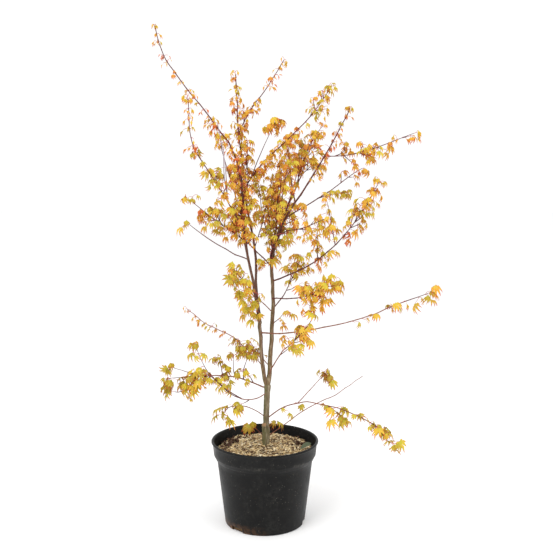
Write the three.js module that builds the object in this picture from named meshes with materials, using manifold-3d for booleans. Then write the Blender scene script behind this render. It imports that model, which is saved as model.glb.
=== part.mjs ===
// A young Japanese maple in spring leaf, in a black nursery pot.
// Millimetres, +Z up. The origin is the centre of the pot's flat underside, +X is the tree's east side and +Y its back.
import * as THREE from "three";
import { mergeVertices } from "three/addons/utils/BufferGeometryUtils.js";
import Module from "manifold-3d";

const wasm = await Module();
wasm.setup();

// ---- driving dimensions ----
const GAP = 0.4; // between pieces that meet
const POT = { rim: 340, band: 324, shoulder: 304, base: 255, height: 267, bandDrop: 45, wall: 3, floor: 4, slots: 3 };
const SOIL = 242; // top of the mulch at the trunk
const FORK = 440; // where the trunk parts into two stems
const TRUNK = { foot: 32, stock: 24, graft: 27, scion: 19, graftHeight: 64 };
const SPREAD = { west: -340, east: 525, top: 1525 }; // the tips are placed to the nearest 5

// ---- chance, always the same ----
function seeded(seed) {
  let s = seed >>> 0;
  return () => {
    s = (s + 0x6d2b79f5) >>> 0;
    let t = Math.imul(s ^ (s >>> 15), 1 | s);
    t = (t + Math.imul(t ^ (t >>> 7), 61 | t)) ^ t;
    return ((t ^ (t >>> 14)) >>> 0) / 4294967296;
  };
}

// ---- solids ----
function solid(geometry) {
  const g = geometry.clone();
  g.deleteAttribute("normal");
  g.deleteAttribute("uv");
  const merged = mergeVertices(g, 1e-3);
  return new wasm.Manifold(
    new wasm.Mesh({ numProp: 3, vertProperties: merged.attributes.position.array, triVerts: new Uint32Array(merged.index.array) }),
  );
}

function geometryOf(body) {
  const m = body.getMesh();
  const g = new THREE.BufferGeometry();
  g.setAttribute("position", new THREE.BufferAttribute(new Float32Array(m.vertProperties), 3));
  g.setIndex(new THREE.BufferAttribute(new Uint32Array(m.triVerts), 1));
  g.computeVertexNormals();
  return g;
}

// A cut can leave crumbs behind: the piece itself is the largest body.
function largest(body, name, most = 0.3) {
  const parts = body.decompose().sort((a, b) => b.volume() - a.volume());
  if (parts.length > 1 && parts[1].volume() > most * parts[0].volume()) throw new Error(`${name} is cut in two`);
  return parts[0];
}

// ---- a limb's line ----
const heading = (bearing, rise) => {
  const b = THREE.MathUtils.degToRad(bearing), r = THREE.MathUtils.degToRad(rise);
  return new THREE.Vector3(Math.cos(b) * Math.cos(r), Math.sin(b) * Math.cos(r), Math.sin(r));
};

// From where it leaves its parent to its tip. `leave` and `arrive` are its rise in degrees at either end, and `swing`
// is how far its start bears off to the left of the straight way to the tip.
class LimbLine {
  constructor(start, tip, { leave, arrive, swing = 0, wander = 0, seed = 1 }) {
    const chord = tip.clone().sub(start);
    const bearing = THREE.MathUtils.radToDeg(Math.atan2(chord.y, chord.x));
    const reach = 0.38 * chord.length();
    this.bezier = new THREE.CubicBezierCurve3(
      start,
      start.clone().addScaledVector(heading(bearing + swing, leave), reach),
      tip.clone().addScaledVector(heading(bearing - swing, arrive), -reach),
      tip,
    );
    this.side = heading(bearing - 90, 0);
    this.wander = wander;
    const r = seeded(seed);
    this.phase = [r() * 6.3, r() * 6.3];
    this.length = this.bezier.getLength();
  }
  // Past either end the line goes straight on.
  frame(t) {
    const inside = THREE.MathUtils.clamp(t, 0, 1);
    const along = this.bezier.getTangent(inside);
    const across = this.side.clone().addScaledVector(along, -this.side.dot(along)).normalize();
    const up = new THREE.Vector3().crossVectors(across, along);
    const sway = this.wander * Math.sin(Math.PI * inside), turns = this.length / 45;
    const at = this.bezier.getPoint(inside)
      .addScaledVector(along, (t - inside) * this.length)
      .addScaledVector(across, sway * Math.sin(turns * inside + this.phase[0]))
      .addScaledVector(up, sway * Math.sin(0.7 * turns * inside + this.phase[1]));
    return { at, along, across, up };
  }
}

// Bends an upright unit solid (its Y from -0.5 to 0.5) along a line from `from` to `to`; `size` gives the half widths there.
function bend(geometry, line, from, to, size, drop = 0) {
  const p = geometry.attributes.position, v = new THREE.Vector3();
  for (let i = 0; i < p.count; i++) {
    v.fromBufferAttribute(p, i);
    const share = v.y + 0.5, f = line.frame(from + (to - from) * share), [wide, tall] = size(share);
    f.at.addScaledVector(f.across, v.x * wide).addScaledVector(f.up, v.z * tall);
    p.setXYZ(i, f.at.x, f.at.y, f.at.z - drop);
  }
  return geometry;
}

// ---- limbs ----
const limbs = new Map();
function limb(name, spec) {
  const parent = limbs.get(spec.on);
  const start = parent ? parent.line.frame(spec.at).at : new THREE.Vector3(...spec.foot);
  const line = new LimbLine(start, new THREE.Vector3(...spec.tip), { ...spec, seed: limbs.size + 7 });
  const girth = typeof spec.girth === "function" ? spec.girth : (t) => THREE.MathUtils.lerp(spec.girth[0], spec.girth[1], t);
  const sides = spec.sides ?? 6, steps = spec.steps ?? Math.round(THREE.MathUtils.clamp(line.length / 45, 4, 11));
  const shape = (more) =>
    solid(bend(new THREE.CylinderGeometry(1, 1, 1, sides, steps), line, 0, 1, (t) => [girth(t) / 2 + more, girth(t) / 2 + more]));
  const made = { name, line, body: shape(0), fat: shape(1.2 * GAP), colour: spec.colour ?? "#6b4a35" };
  for (const other of limbs.values()) made.body = made.body.subtract(other.fat);
  made.body = largest(made.body, name);
  limbs.set(name, made);
}

const smooth = THREE.MathUtils.smoothstep;
const stockHeight = FORK - SOIL;
limb("trunk", {
  foot: [3, 0, SOIL + GAP], tip: [9, 0, FORK], leave: 89, arrive: 86, sides: 12, steps: 12, colour: "#7a6850",
  girth: (t) => {
    const h = t * stockHeight, bulge = Math.exp(-(((h - TRUNK.graftHeight) / 9) ** 2));
    const below = TRUNK.stock + (TRUNK.foot - TRUNK.stock) * Math.exp(-h / 9);
    const body = THREE.MathUtils.lerp(below, TRUNK.scion, smooth(h, TRUNK.graftHeight - 4, TRUNK.graftHeight + 16));
    return body + (TRUNK.graft - TRUNK.stock) * bulge;
  },
});
const STEM = "#6e5740", LEAD = "#684334";
limb("stem_west", { on: "trunk", at: 0.94, tip: [-15, -10, 645], leave: 78, arrive: 88, girth: [13, 11], sides: 8, colour: STEM });
limb("stem_east", { on: "trunk", at: 0.96, tip: [20, 25, 830], leave: 78, arrive: 90, girth: [15, 10], sides: 8, wander: 2, colour: STEM });
limb("lead_west", { on: "stem_west", at: 0.97, tip: [-70, -60, 1095], leave: 76, arrive: 86, girth: [9, 6.5], wander: 3, colour: LEAD });
limb("lead_inner", { on: "stem_west", at: 0.97, tip: [-90, 60, 1410], leave: 86, arrive: 88, girth: [9, 2.5], wander: 5, colour: LEAD });
limb("lead_east", { on: "stem_east", at: 0.98, tip: [255, -40, 1295], leave: 80, arrive: 68, swing: -15, girth: [8, 2.5], wander: 4, colour: LEAD });
limb("lead_back", { on: "lead_east", at: 0.2, tip: [170, 180, 1280], leave: 62, arrive: 66, girth: [6, 2.5], wander: 4, colour: LEAD });
limb("lead_rear", { on: "stem_east", at: 0.95, tip: [55, 300, 1155], leave: 40, arrive: 55, girth: [6, 2.5], wander: 4, colour: LEAD });

// Crown, from the top down.
limb("whip_west", { on: "lead_west", at: 0.98, tip: [-315, -90, SPREAD.top], leave: 84, arrive: 82, girth: [6, 2], wander: 3 });
limb("spire_east", { on: "lead_inner", at: 0.78, tip: [60, 140, 1465], leave: 60, arrive: 55, girth: [4, 2], wander: 3 });
limb("bough_northeast", { on: "lead_inner", at: 0.55, tip: [215, -120, 1375], leave: 55, arrive: 55, girth: [5, 2], wander: 4 });
limb("whip_far_east", { on: "lead_east", at: 0.72, tip: [485, -60, 1250], leave: 0, arrive: 35, girth: [4.5, 2], wander: 4 });
limb("bough_east_high", { on: "lead_east", at: 0.28, tip: [335, 150, 1175], leave: 30, arrive: 50, girth: [5, 2], wander: 4 });
limb("bough_east_mid", { on: "lead_east", at: 0.16, tip: [180, -240, 1010], leave: 25, arrive: 45, girth: [4.5, 2], wander: 4 });
limb("bough_east", { on: "stem_east", at: 0.86, tip: [345, -60, 1100], leave: 20, arrive: 74, swing: -10, girth: [6, 2.5], wander: 4 });
limb("bough_east_low", { on: "stem_east", at: 0.72, tip: [230, -240, 840], leave: 5, arrive: 40, girth: [5, 2], wander: 5 });
limb("bough_east_rear", { on: "stem_east", at: 0.63, tip: [130, 260, 865], leave: 15, arrive: 60, girth: [5, 2], wander: 4 });
limb("bough_front_east", { on: "stem_east", at: 0.09, tip: [155, -280, 760], leave: 55, arrive: 65, girth: [6, 2.5], wander: 5 });
limb("bough_long_east", { on: "stem_west", at: 0.86, tip: [SPREAD.east, -90, 780], leave: 2, arrive: 25, swing: -25, girth: [7, 2.5], wander: 4, steps: 14 });
limb("bough_front_west", { on: "stem_east", at: 0.62, tip: [-95, -240, 930], leave: 30, arrive: 70, girth: [5, 2], wander: 3 });
limb("bough_west", { on: "lead_west", at: 0.45, tip: [-275, 130, 985], leave: 12, arrive: 40, girth: [4.5, 2], wander: 4 });
limb("bough_west_high", { on: "stem_east", at: 0.97, tip: [-255, -100, 1070], leave: 50, arrive: 55, swing: 3, girth: [5, 2], wander: 4 });
limb("bough_northwest", { on: "lead_west", at: 0.66, tip: [-180, -230, 1150], leave: 45, arrive: 45, girth: [5, 2.5], wander: 4 });
limb("spire_northwest", { on: "bough_northwest", at: 0.93, tip: [-205, -250, 1305], leave: 45, arrive: 88, girth: [3, 1.8], wander: 2 });
limb("bough_rear_west", { on: "lead_west", at: 0.74, tip: [-155, 260, 1265], leave: 25, arrive: 62, girth: [5, 2], wander: 4 });

// Low boughs, below and just above the fork.
limb("bough_low_west", { on: "trunk", at: 0.95, tip: [SPREAD.west, 40, 345], leave: 32, arrive: -62, girth: [7, 2.5], wander: 5, steps: 14 });
limb("bough_low_front", { on: "trunk", at: 0.9, tip: [-200, -200, 615], leave: -18, arrive: 75, girth: [5, 2], wander: 5 });
limb("bough_thin_west", { on: "stem_west", at: 0.33, tip: [-265, 220, 650], leave: 42, arrive: 28, girth: [4, 1.8], wander: 3 });
limb("bough_rear_low", { on: "stem_east", at: 0.17, tip: [-50, 150, 545], leave: 15, arrive: 10, girth: [4, 2], wander: 2 });
limb("foot_west", { on: "trunk", at: 0.48, tip: [-155, -130, 375], leave: 38, arrive: -30, girth: [4, 2], wander: 3 });
limb("foot_east", { on: "trunk", at: 0.46, tip: [400, -190, 300], leave: 42, arrive: -45, girth: [6, 2], wander: 5, steps: 14 });
limb("foot_twig", { on: "foot_east", at: 0.26, tip: [195, 60, 465], leave: 25, arrive: 25, girth: [3, 1.8], wander: 3 });
limb("foot_bare", { on: "trunk", at: 0.12, tip: [335, 240, 415], leave: 28, arrive: 25, girth: [4, 1.8], wander: 3 });

// ---- foliage ----
// A mass is an uneven closed body along the outer part of its limb, `wide` and `tall` across, thinner towards its far
// end by `taper`, and hung `drop` below the limb. The limb ends where it enters, unless it is a stem that runs through.
const STEMS = ["trunk", "stem_west", "stem_east", "lead_west", "lead_inner", "lead_east"];
const masses = new Map();
function foliage(name, { on, from, to, wide, tall = wide, taper = 0.25, drop = 0, detail = 1, through = false, colour = "#c8a04a" }) {
  const host = limbs.get(on);
  const shape = (more) => {
    const ball = new THREE.IcosahedronGeometry(0.5, detail), p = ball.attributes.position, v = new THREE.Vector3();
    const r = seeded(masses.size * 31 + 5);
    const lumps = Array.from({ length: 7 }, () => ({ way: new THREE.Vector3(r() - 0.5, r() - 0.5, r() - 0.5).normalize(), high: 0.6 * r() - 0.2 }));
    for (let i = 0; i < p.count; i++) {
      v.fromBufferAttribute(p, i);
      const way = v.clone().normalize();
      const swell = lumps.reduce((sum, l) => sum + l.high * Math.max(0, way.dot(l.way)) ** 3, 1);
      v.x *= swell;
      v.z *= swell;
      p.setXYZ(i, v.x, v.y, v.z);
    }
    return solid(bend(ball, host.line, from - more / host.line.length, to + more / host.line.length,
      (t) => [wide * (1 + taper * (1 - 2 * t)) + 2 * more, tall * (1 + taper * (1 - 2 * t)) + 2 * more], drop));
  };
  const made = { name, body: shape(0), fat: shape(2 * GAP), colour };
  for (const other of masses.values()) made.body = made.body.subtract(other.fat);
  for (const l of limbs.values()) {
    const stays = STEMS.includes(l.name) || through;
    if (stays) made.body = made.body.subtract(l.fat);
    else l.body = largest(l.body.subtract(made.fat), `${l.name} in ${name}`, 0.95);
  }
  made.body = largest(made.body, name);
  masses.set(name, made);
}

const ORANGE = "#d98948", AMBER = "#cb9550", GOLD = "#c8994b", LIME = "#c7a449";
foliage("foliage_spire", { on: "lead_inner", from: 0.72, to: 1.0, wide: 52, taper: 0.3, through: true, colour: AMBER });
foliage("foliage_northeast", { on: "bough_northeast", from: 0.62, to: 1.03, wide: 80, colour: AMBER });
foliage("foliage_far_east", { on: "whip_far_east", from: 0.05, to: 1.03, wide: 90, taper: 0.45, detail: 2, colour: ORANGE });
foliage("foliage_east_high", { on: "bough_east_high", from: 0.4, to: 1.05, wide: 95, drop: 5, colour: AMBER });
foliage("foliage_back", { on: "lead_back", from: 0.4, to: 1.0, wide: 130, detail: 2, colour: AMBER });
foliage("foliage_rear", { on: "lead_rear", from: 0.35, to: 1.03, wide: 150, detail: 2, colour: GOLD });
foliage("foliage_crown_west", { on: "lead_west", from: 0.55, to: 1.06, wide: 120, detail: 2, through: true, colour: GOLD });
foliage("foliage_core", { on: "lead_east", from: 0.0, to: 0.5, wide: 120, detail: 2, through: true, colour: GOLD });
foliage("foliage_northwest", { on: "bough_northwest", from: 0.4, to: 1.0, wide: 105, colour: AMBER });
foliage("foliage_west_high", { on: "bough_west_high", from: 0.5, to: 1.04, wide: 95, drop: 8, colour: GOLD });
foliage("foliage_rear_west", { on: "bough_rear_west", from: 0.35, to: 1.0, wide: 140, detail: 2, colour: AMBER });
foliage("foliage_west", { on: "bough_west", from: 0.4, to: 1.05, wide: 85, drop: 8, colour: GOLD });
foliage("foliage_front_west", { on: "bough_front_west", from: 0.25, to: 1.0, wide: 85, drop: 18, colour: GOLD });
foliage("foliage_east_mid", { on: "bough_east_mid", from: 0.4, to: 1.05, wide: 95, drop: 8, colour: GOLD });
foliage("foliage_east", { on: "bough_east", from: 0.62, to: 1.06, wide: 90, drop: 8, colour: GOLD });
foliage("foliage_east_low", { on: "bough_east_low", from: 0.35, to: 1.08, wide: 110, drop: 18, detail: 2, colour: GOLD });
foliage("foliage_east_rear", { on: "bough_east_rear", from: 0.35, to: 1.05, wide: 110, drop: 8, colour: GOLD });
foliage("foliage_front_east", { on: "bough_front_east", from: 0.45, to: 1.06, wide: 110, drop: 15, detail: 2, colour: GOLD });
foliage("foliage_long_east", { on: "bough_long_east", from: 0.72, to: 1.02, wide: 60, taper: 0.2, drop: 12, colour: GOLD });
foliage("foliage_low_west", { on: "bough_low_west", from: 0.48, to: 1.03, wide: 95, tall: 85, taper: -0.1, drop: 5, detail: 2, colour: LIME });
foliage("foliage_low_front", { on: "bough_low_front", from: 0.3, to: 1.05, wide: 85, drop: 5, colour: LIME });
foliage("foliage_inner_low", { on: "bough_rear_low", from: 0.45, to: 1.25, wide: 60, colour: LIME });
foliage("foliage_foot_west", { on: "foot_west", from: 0.55, to: 1.05, wide: 60, drop: 10, colour: LIME });
foliage("foliage_foot_mid", { on: "foot_east", from: 0.48, to: 0.66, wide: 60, drop: 25, through: true, colour: LIME });
foliage("foliage_foot_tip", { on: "foot_east", from: 0.76, to: 1.04, wide: 80, drop: 15, colour: LIME });

// ---- pot ----
function potBody() {
  const r = (d) => d / 2, top = POT.height, under = top - POT.bandDrop, step = under - 15;
  const outline = [
    [0, 0], [r(POT.base) - 4, 0], [r(POT.base), 4], [r(POT.shoulder), step], [r(POT.band), under], [r(POT.rim) - 4, top - 8],
    [r(POT.rim), top - 5], [r(POT.rim), top - 2], [r(POT.rim) - 3, top], [r(POT.rim) - 7, top - 3],
    [r(POT.band) - POT.wall, under + 2], [r(POT.shoulder) - POT.wall, step - 1], [r(POT.base) - POT.wall, POT.floor + 2], [r(POT.base) - POT.wall - 3, POT.floor], [0, POT.floor],
  ].map(([x, y]) => new THREE.Vector2(x, y));
  let body = solid(new THREE.LatheGeometry(outline, 36).rotateX(Math.PI / 2));
  // Drainage slots through the bottom edge.
  for (let i = 0; i < POT.slots; i++) {
    const slot = new THREE.BoxGeometry(16, 36, 14).translate(r(POT.base), 0, 3).rotateZ(THREE.MathUtils.degToRad(235 + (360 * i) / POT.slots));
    body = body.subtract(solid(slot));
  }
  return largest(body, "pot");
}

// ---- mulch: fills the pot, gently mounded to the trunk and uneven on top ----
function mulchBody() {
  const inner = (POT.base / 2 - POT.wall) - 3 - GAP, outer = POT.shoulder / 2 - POT.wall - 1 - GAP;
  const r = seeded(11);
  const outline = [[0, POT.floor + GAP], [inner, POT.floor + GAP], [outer, 200], [outer, 232], [110, 236], [70, 239], [30, SOIL], [0, SOIL]].map(([x, y]) => new THREE.Vector2(x, y));
  const g = new THREE.LatheGeometry(outline, 24).rotateX(Math.PI / 2);
  g.deleteAttribute("normal");
  g.deleteAttribute("uv");
  const m = mergeVertices(g, 1e-3), p = m.attributes.position;
  for (let i = 0; i < p.count; i++) {
    const away = Math.hypot(p.getX(i), p.getY(i));
    if (p.getZ(i) > 230 && away > 40) p.setZ(i, p.getZ(i) + 5 * (r() - 0.5));
  }
  return solid(m);
}

// ---- the tree as a scene graph ----
const tree = new THREE.Group();
tree.name = "potted_maple";
function put(name, body, colour, roughness) {
  const mesh = new THREE.Mesh(geometryOf(body), new THREE.MeshStandardMaterial({ color: colour, roughness, metalness: 0, flatShading: true }));
  mesh.name = name;
  tree.add(mesh);
}
put("pot", potBody(), "#2c2c2a", 0.5);
put("mulch", mulchBody(), "#a38a65", 0.95);
for (const l of limbs.values()) put(l.name, l.body, l.colour, 0.75);
for (const m of masses.values()) put(m.name, m.body, m.colour, 0.8);

export default tree;
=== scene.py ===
"""A young Japanese maple in spring leaf, in a black nursery pot.

Metres, +Z up. The frame gives every limb, foliage mass and the pot their places. Bark tubes follow the limbs, and in
each foliage mass the limb grows on as a leader that bears side shoots and leaves.
"""

import heapq
import logging
import math
import random
from dataclasses import dataclass, field, replace
from enum import Enum
from typing import Any, ClassVar, Iterable, Sequence

import bmesh
import bpy
from mathutils import Matrix, Vector
from mathutils.bvhtree import BVHTree


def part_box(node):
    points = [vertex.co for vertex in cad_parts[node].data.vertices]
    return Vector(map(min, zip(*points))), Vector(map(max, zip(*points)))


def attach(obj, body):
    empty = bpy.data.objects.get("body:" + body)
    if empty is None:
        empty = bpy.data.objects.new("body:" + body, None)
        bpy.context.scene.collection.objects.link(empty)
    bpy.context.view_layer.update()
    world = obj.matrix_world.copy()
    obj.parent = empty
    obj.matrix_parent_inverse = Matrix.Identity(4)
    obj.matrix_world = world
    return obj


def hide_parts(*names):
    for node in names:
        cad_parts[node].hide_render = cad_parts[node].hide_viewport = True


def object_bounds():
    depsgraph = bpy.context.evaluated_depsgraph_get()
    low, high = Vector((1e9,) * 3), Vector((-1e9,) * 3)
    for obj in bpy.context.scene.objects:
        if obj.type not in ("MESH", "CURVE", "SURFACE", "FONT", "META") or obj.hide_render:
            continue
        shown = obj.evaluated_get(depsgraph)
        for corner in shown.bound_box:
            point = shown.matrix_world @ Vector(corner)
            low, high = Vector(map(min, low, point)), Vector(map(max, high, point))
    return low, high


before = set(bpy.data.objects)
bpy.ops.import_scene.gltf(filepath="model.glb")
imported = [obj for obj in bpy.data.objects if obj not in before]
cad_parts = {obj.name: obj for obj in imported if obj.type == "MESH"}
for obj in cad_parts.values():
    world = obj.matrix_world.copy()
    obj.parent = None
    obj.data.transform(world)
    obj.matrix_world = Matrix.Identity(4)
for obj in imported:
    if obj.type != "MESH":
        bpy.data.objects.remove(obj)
CAD_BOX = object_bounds()
MM = 0.001
UP = Vector((0.0, 0.0, 1.0))
log = logging.getLogger("maple")


# ---- small helpers ----


def linear(colour: str) -> tuple[float, float, float, float]:
    """Turn an sRGB hex colour into a linear one.

    Args:
        colour: The colour as #rrggbb.

    Returns:
        Linear red, green, blue and an alpha of 1.
    """
    parts = [int(colour[i : i + 2], 16) / 255 for i in (1, 3, 5)]
    red, green, blue = (c / 12.92 if c <= 0.04045 else ((c + 0.055) / 1.055) ** 2.4 for c in parts)
    return red, green, blue, 1.0


def add_node(
    tree: bpy.types.NodeTree,
    kind: str,
    settings: dict[str, Any] | None = None,
    inputs: dict[str | int, Any] | None = None,
) -> bpy.types.Node:
    """Add a node with its settings, and set or link its inputs.

    Args:
        tree: The shader or geometry tree.
        kind: The node's type name.
        settings: Attributes of the node itself.
        inputs: A value, another node's socket, or another node for its first live output, by input name or number.

    Returns:
        The new node.
    """
    node = tree.nodes.new(kind)
    for name, value in (settings or {}).items():
        setattr(node, name, value)
    for key, value in (inputs or {}).items():
        if isinstance(value, bpy.types.Node):
            value = next(socket for socket in value.outputs if socket.enabled)
        if isinstance(value, bpy.types.NodeSocket):
            tree.links.new(value, node.inputs[key])
        else:
            node.inputs[key].default_value = value
    return node


# settings that many nodes share, and the inputs of a colour Mix, whose names its hidden inputs share
TIMES = {"operation": "MULTIPLY"}
RGBA = {"data_type": "RGBA"}
BELOW, ABOVE = 6, 7


def paint(
    tree: bpy.types.NodeTree, colour: bpy.types.Node, height: bpy.types.Node, strength: float, deep: float
) -> None:
    """Link a finish's colour and its relief to its shader.

    Args:
        tree: The material's tree.
        colour: The node that gives the colour.
        height: The node that gives the relief.
        strength: How strong the relief is.
        deep: How deep it is, in metres.
    """
    bump = add_node(tree, "ShaderNodeBump", inputs={"Height": height, "Strength": strength, "Distance": deep})
    shader = tree.nodes["Principled BSDF"]
    tone = next(socket for socket in colour.outputs if socket.enabled)
    tree.links.new(tone, shader.inputs["Base Color"])
    tree.links.new(bump.outputs["Normal"], shader.inputs["Normal"])


def plain_object(name: str, mesh: bpy.types.Mesh, shown: bool = True) -> bpy.types.Object:
    """Make an object at the origin.

    Args:
        name: The object's name.
        mesh: Its mesh.
        shown: Whether it goes into the scene.

    Returns:
        The object.
    """
    made = bpy.data.objects.new(name, mesh)
    if shown:
        bpy.context.scene.collection.objects.link(made)
    return made


def solid(
    name: str,
    built: bmesh.types.BMesh,
    material: bpy.types.Material | None = None,
    smooth: bool = False,
    shown: bool = True,
    closed: bool = True,
) -> bpy.types.Object:
    """Turn a finished bmesh into an object and free it.

    Args:
        name: The object's name.
        built: The bmesh.
        material: Its material, where it has one yet.
        smooth: Whether it is shaded smooth.
        shown: Whether it goes into the scene.
        closed: Whether it is a closed shell, whose faces are then turned outwards.

    Returns:
        The object.
    """
    if closed:
        bmesh.ops.recalc_face_normals(built, faces=built.faces)
    mesh = bpy.data.meshes.new(name)
    built.to_mesh(mesh)
    built.free()
    mesh.polygons.foreach_set("use_smooth", [smooth] * len(mesh.polygons))
    if material:
        mesh.materials.append(material)
    return plain_object(name, mesh, shown)


def bridge(built: bmesh.types.BMesh, rows: Sequence[Sequence[bmesh.types.BMVert]], closed: bool = True) -> None:
    """Join rows of corners by faces; a row of one corner becomes a fan.

    Args:
        built: The mesh that the corners are in.
        rows: The rows, all of one length but for those of a single corner.
        closed: Whether each row runs round to its start.
    """
    for low, high in zip(rows, rows[1:]):
        around = max(len(low), len(high))
        for k in range(around if closed else around - 1):
            n = (k + 1) % around
            if len(low) == 1:
                built.faces.new((low[0], high[k], high[n]))
            elif len(high) == 1:
                built.faces.new((low[k], high[0], low[n]))
            else:
                built.faces.new((low[k], high[k], high[n], low[n]))


def ring(radius: float, height: float, count: int) -> list[tuple[float, float, float]]:
    """Give points evenly round the pot's axis.

    Args:
        radius: How far out they lie.
        height: How high.
        count: How many there are, or one alone where the radius is nothing.

    Returns:
        The points.
    """
    if radius == 0.0:
        return [(0.0, 0.0, height)]
    turns = (math.tau * k / count for k in range(count))
    return [(radius * math.cos(a), radius * math.sin(a), height) for a in turns]


def settle(obj: bpy.types.Object, tree: bpy.types.NodeTree, values: dict[str, Any]) -> bpy.types.Object:
    """Run a geometry tree on an object and keep its result as a plain mesh.

    Args:
        obj: The object that carries the tree's input mesh.
        tree: The geometry tree.
        values: A value for each named input of the tree.

    Returns:
        The same object, with no modifier left on it.
    """
    modifier = obj.modifiers.new(tree.name, "NODES")
    modifier.node_group = tree
    for item in tree.interface.items_tree:
        if item.item_type == "SOCKET" and item.in_out == "INPUT" and item.name in values:
            modifier[item.identifier] = values[item.name]
    graph = bpy.context.evaluated_depsgraph_get()
    mesh = bpy.data.meshes.new_from_object(obj.evaluated_get(graph))
    obj.modifiers.clear()
    old, obj.data = obj.data, mesh
    bpy.data.meshes.remove(old)
    mesh.name = obj.name
    return obj


def geometry_tree(name: str, inputs: dict[str, str]) -> tuple[bpy.types.NodeTree, bpy.types.Node]:
    """Start a geometry tree with named inputs.

    Args:
        name: The tree's name.
        inputs: The socket type of each named input after the geometry.

    Returns:
        The tree and its input node.
    """
    tree = bpy.data.node_groups.new(name, "GeometryNodeTree")
    tree.interface.new_socket("Geometry", in_out="INPUT", socket_type="NodeSocketGeometry")
    for label, kind in inputs.items():
        tree.interface.new_socket(label, in_out="INPUT", socket_type=f"NodeSocket{kind}")
    tree.interface.new_socket("Geometry", in_out="OUTPUT", socket_type="NodeSocketGeometry")
    return tree, tree.nodes.new("NodeGroupInput")


def deal_out(
    tree: bpy.types.NodeTree, flow: bpy.types.Node, number: bpy.types.Node, materials: Sequence[bpy.types.Material]
) -> bpy.types.Node:
    """Give each face the material whose number it carries.

    Args:
        tree: The geometry tree.
        flow: The node that gives the geometry.
        number: The node that gives each face's number.
        materials: The materials in order.

    Returns:
        The node that gives the dressed geometry.
    """
    for place, material in enumerate(materials):
        same = add_node(
            tree,
            "FunctionNodeCompare",
            {"data_type": "FLOAT", "operation": "EQUAL"},
            {"A": number, "B": float(place), "Epsilon": 0.1},
        )
        inputs = {"Geometry": flow, "Selection": same, "Material": material}
        flow = add_node(tree, "GeometryNodeSetMaterial", inputs=inputs)
    return flow


def declare(piece: bpy.types.Object, slot: str, *nodes: str) -> bpy.types.Object:
    """Hang a finished piece on the root body, and hide the frame's nodes that it replaces.

    Args:
        piece: The finished piece.
        slot: The name of a material slot; not used.
        nodes: The nodes that it replaces.

    Returns:
        The piece.
    """
    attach(piece, "root")
    if nodes:
        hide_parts(*nodes)
    log.info("%s: %d faces, for %d nodes", piece.name, len(piece.data.polygons), len(nodes))
    return piece


# ---- finishes ----


def principled(name: str, **values: Any) -> tuple[bpy.types.Material, bpy.types.Node]:
    """Start a material on the Principled shader.

    Args:
        name: The material's name.
        values: Constant values for the shader's own sockets, spaces as underscores.

    Returns:
        The material and its shader node.
    """
    material = bpy.data.materials.new(name)
    material.use_nodes = True
    shader = material.node_tree.nodes["Principled BSDF"]
    for key, value in values.items():
        shader.inputs[key.replace("_", " ")].default_value = value
    return material, shader


class Zone(Enum):
    """The parts of a maple leaf that colour apart."""

    HEART = 0
    BODY = 1
    TIP = 2


@dataclass(frozen=True)
class LeafTint:
    """Thin spring leaf: a matt blade whose tips flush redder than its heart."""

    name: str
    heart: str
    body: str
    tip: str
    roughness: float = 0.55

    def materials(self) -> list[bpy.types.Material]:
        """Give one plain material for each zone.

        Returns:
            The materials in the order of Zone.
        """
        made = []
        for zone, colour in zip(Zone, (self.heart, self.body, self.tip)):
            name, sheen = f"leaf_{self.name}_{zone.name.lower()}", 0.2
            made.append(
                principled(name, Base_Color=linear(colour), Roughness=self.roughness, Specular_IOR_Level=sheen)[0]
            )
        return made


TINTS = (
    LeafTint("ruddy", "#a89a3a", "#b8983c", "#9e3028"),
    LeafTint("olive", "#a0982e", "#b89f34", "#b06a2f"),
    LeafTint("lime", "#b2a934", "#c9b038", "#c27c38"),
    LeafTint("gold", "#c4af3a", "#d4ad3c", "#c6662f"),
    LeafTint("amber", "#cbaa3c", "#d6a13a", "#bf522c"),
    LeafTint("orange", "#ce9c40", "#d38e3a", "#b4422a"),
    LeafTint("coral", "#c98848", "#ca6e3c", "#a53628"),
)


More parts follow.
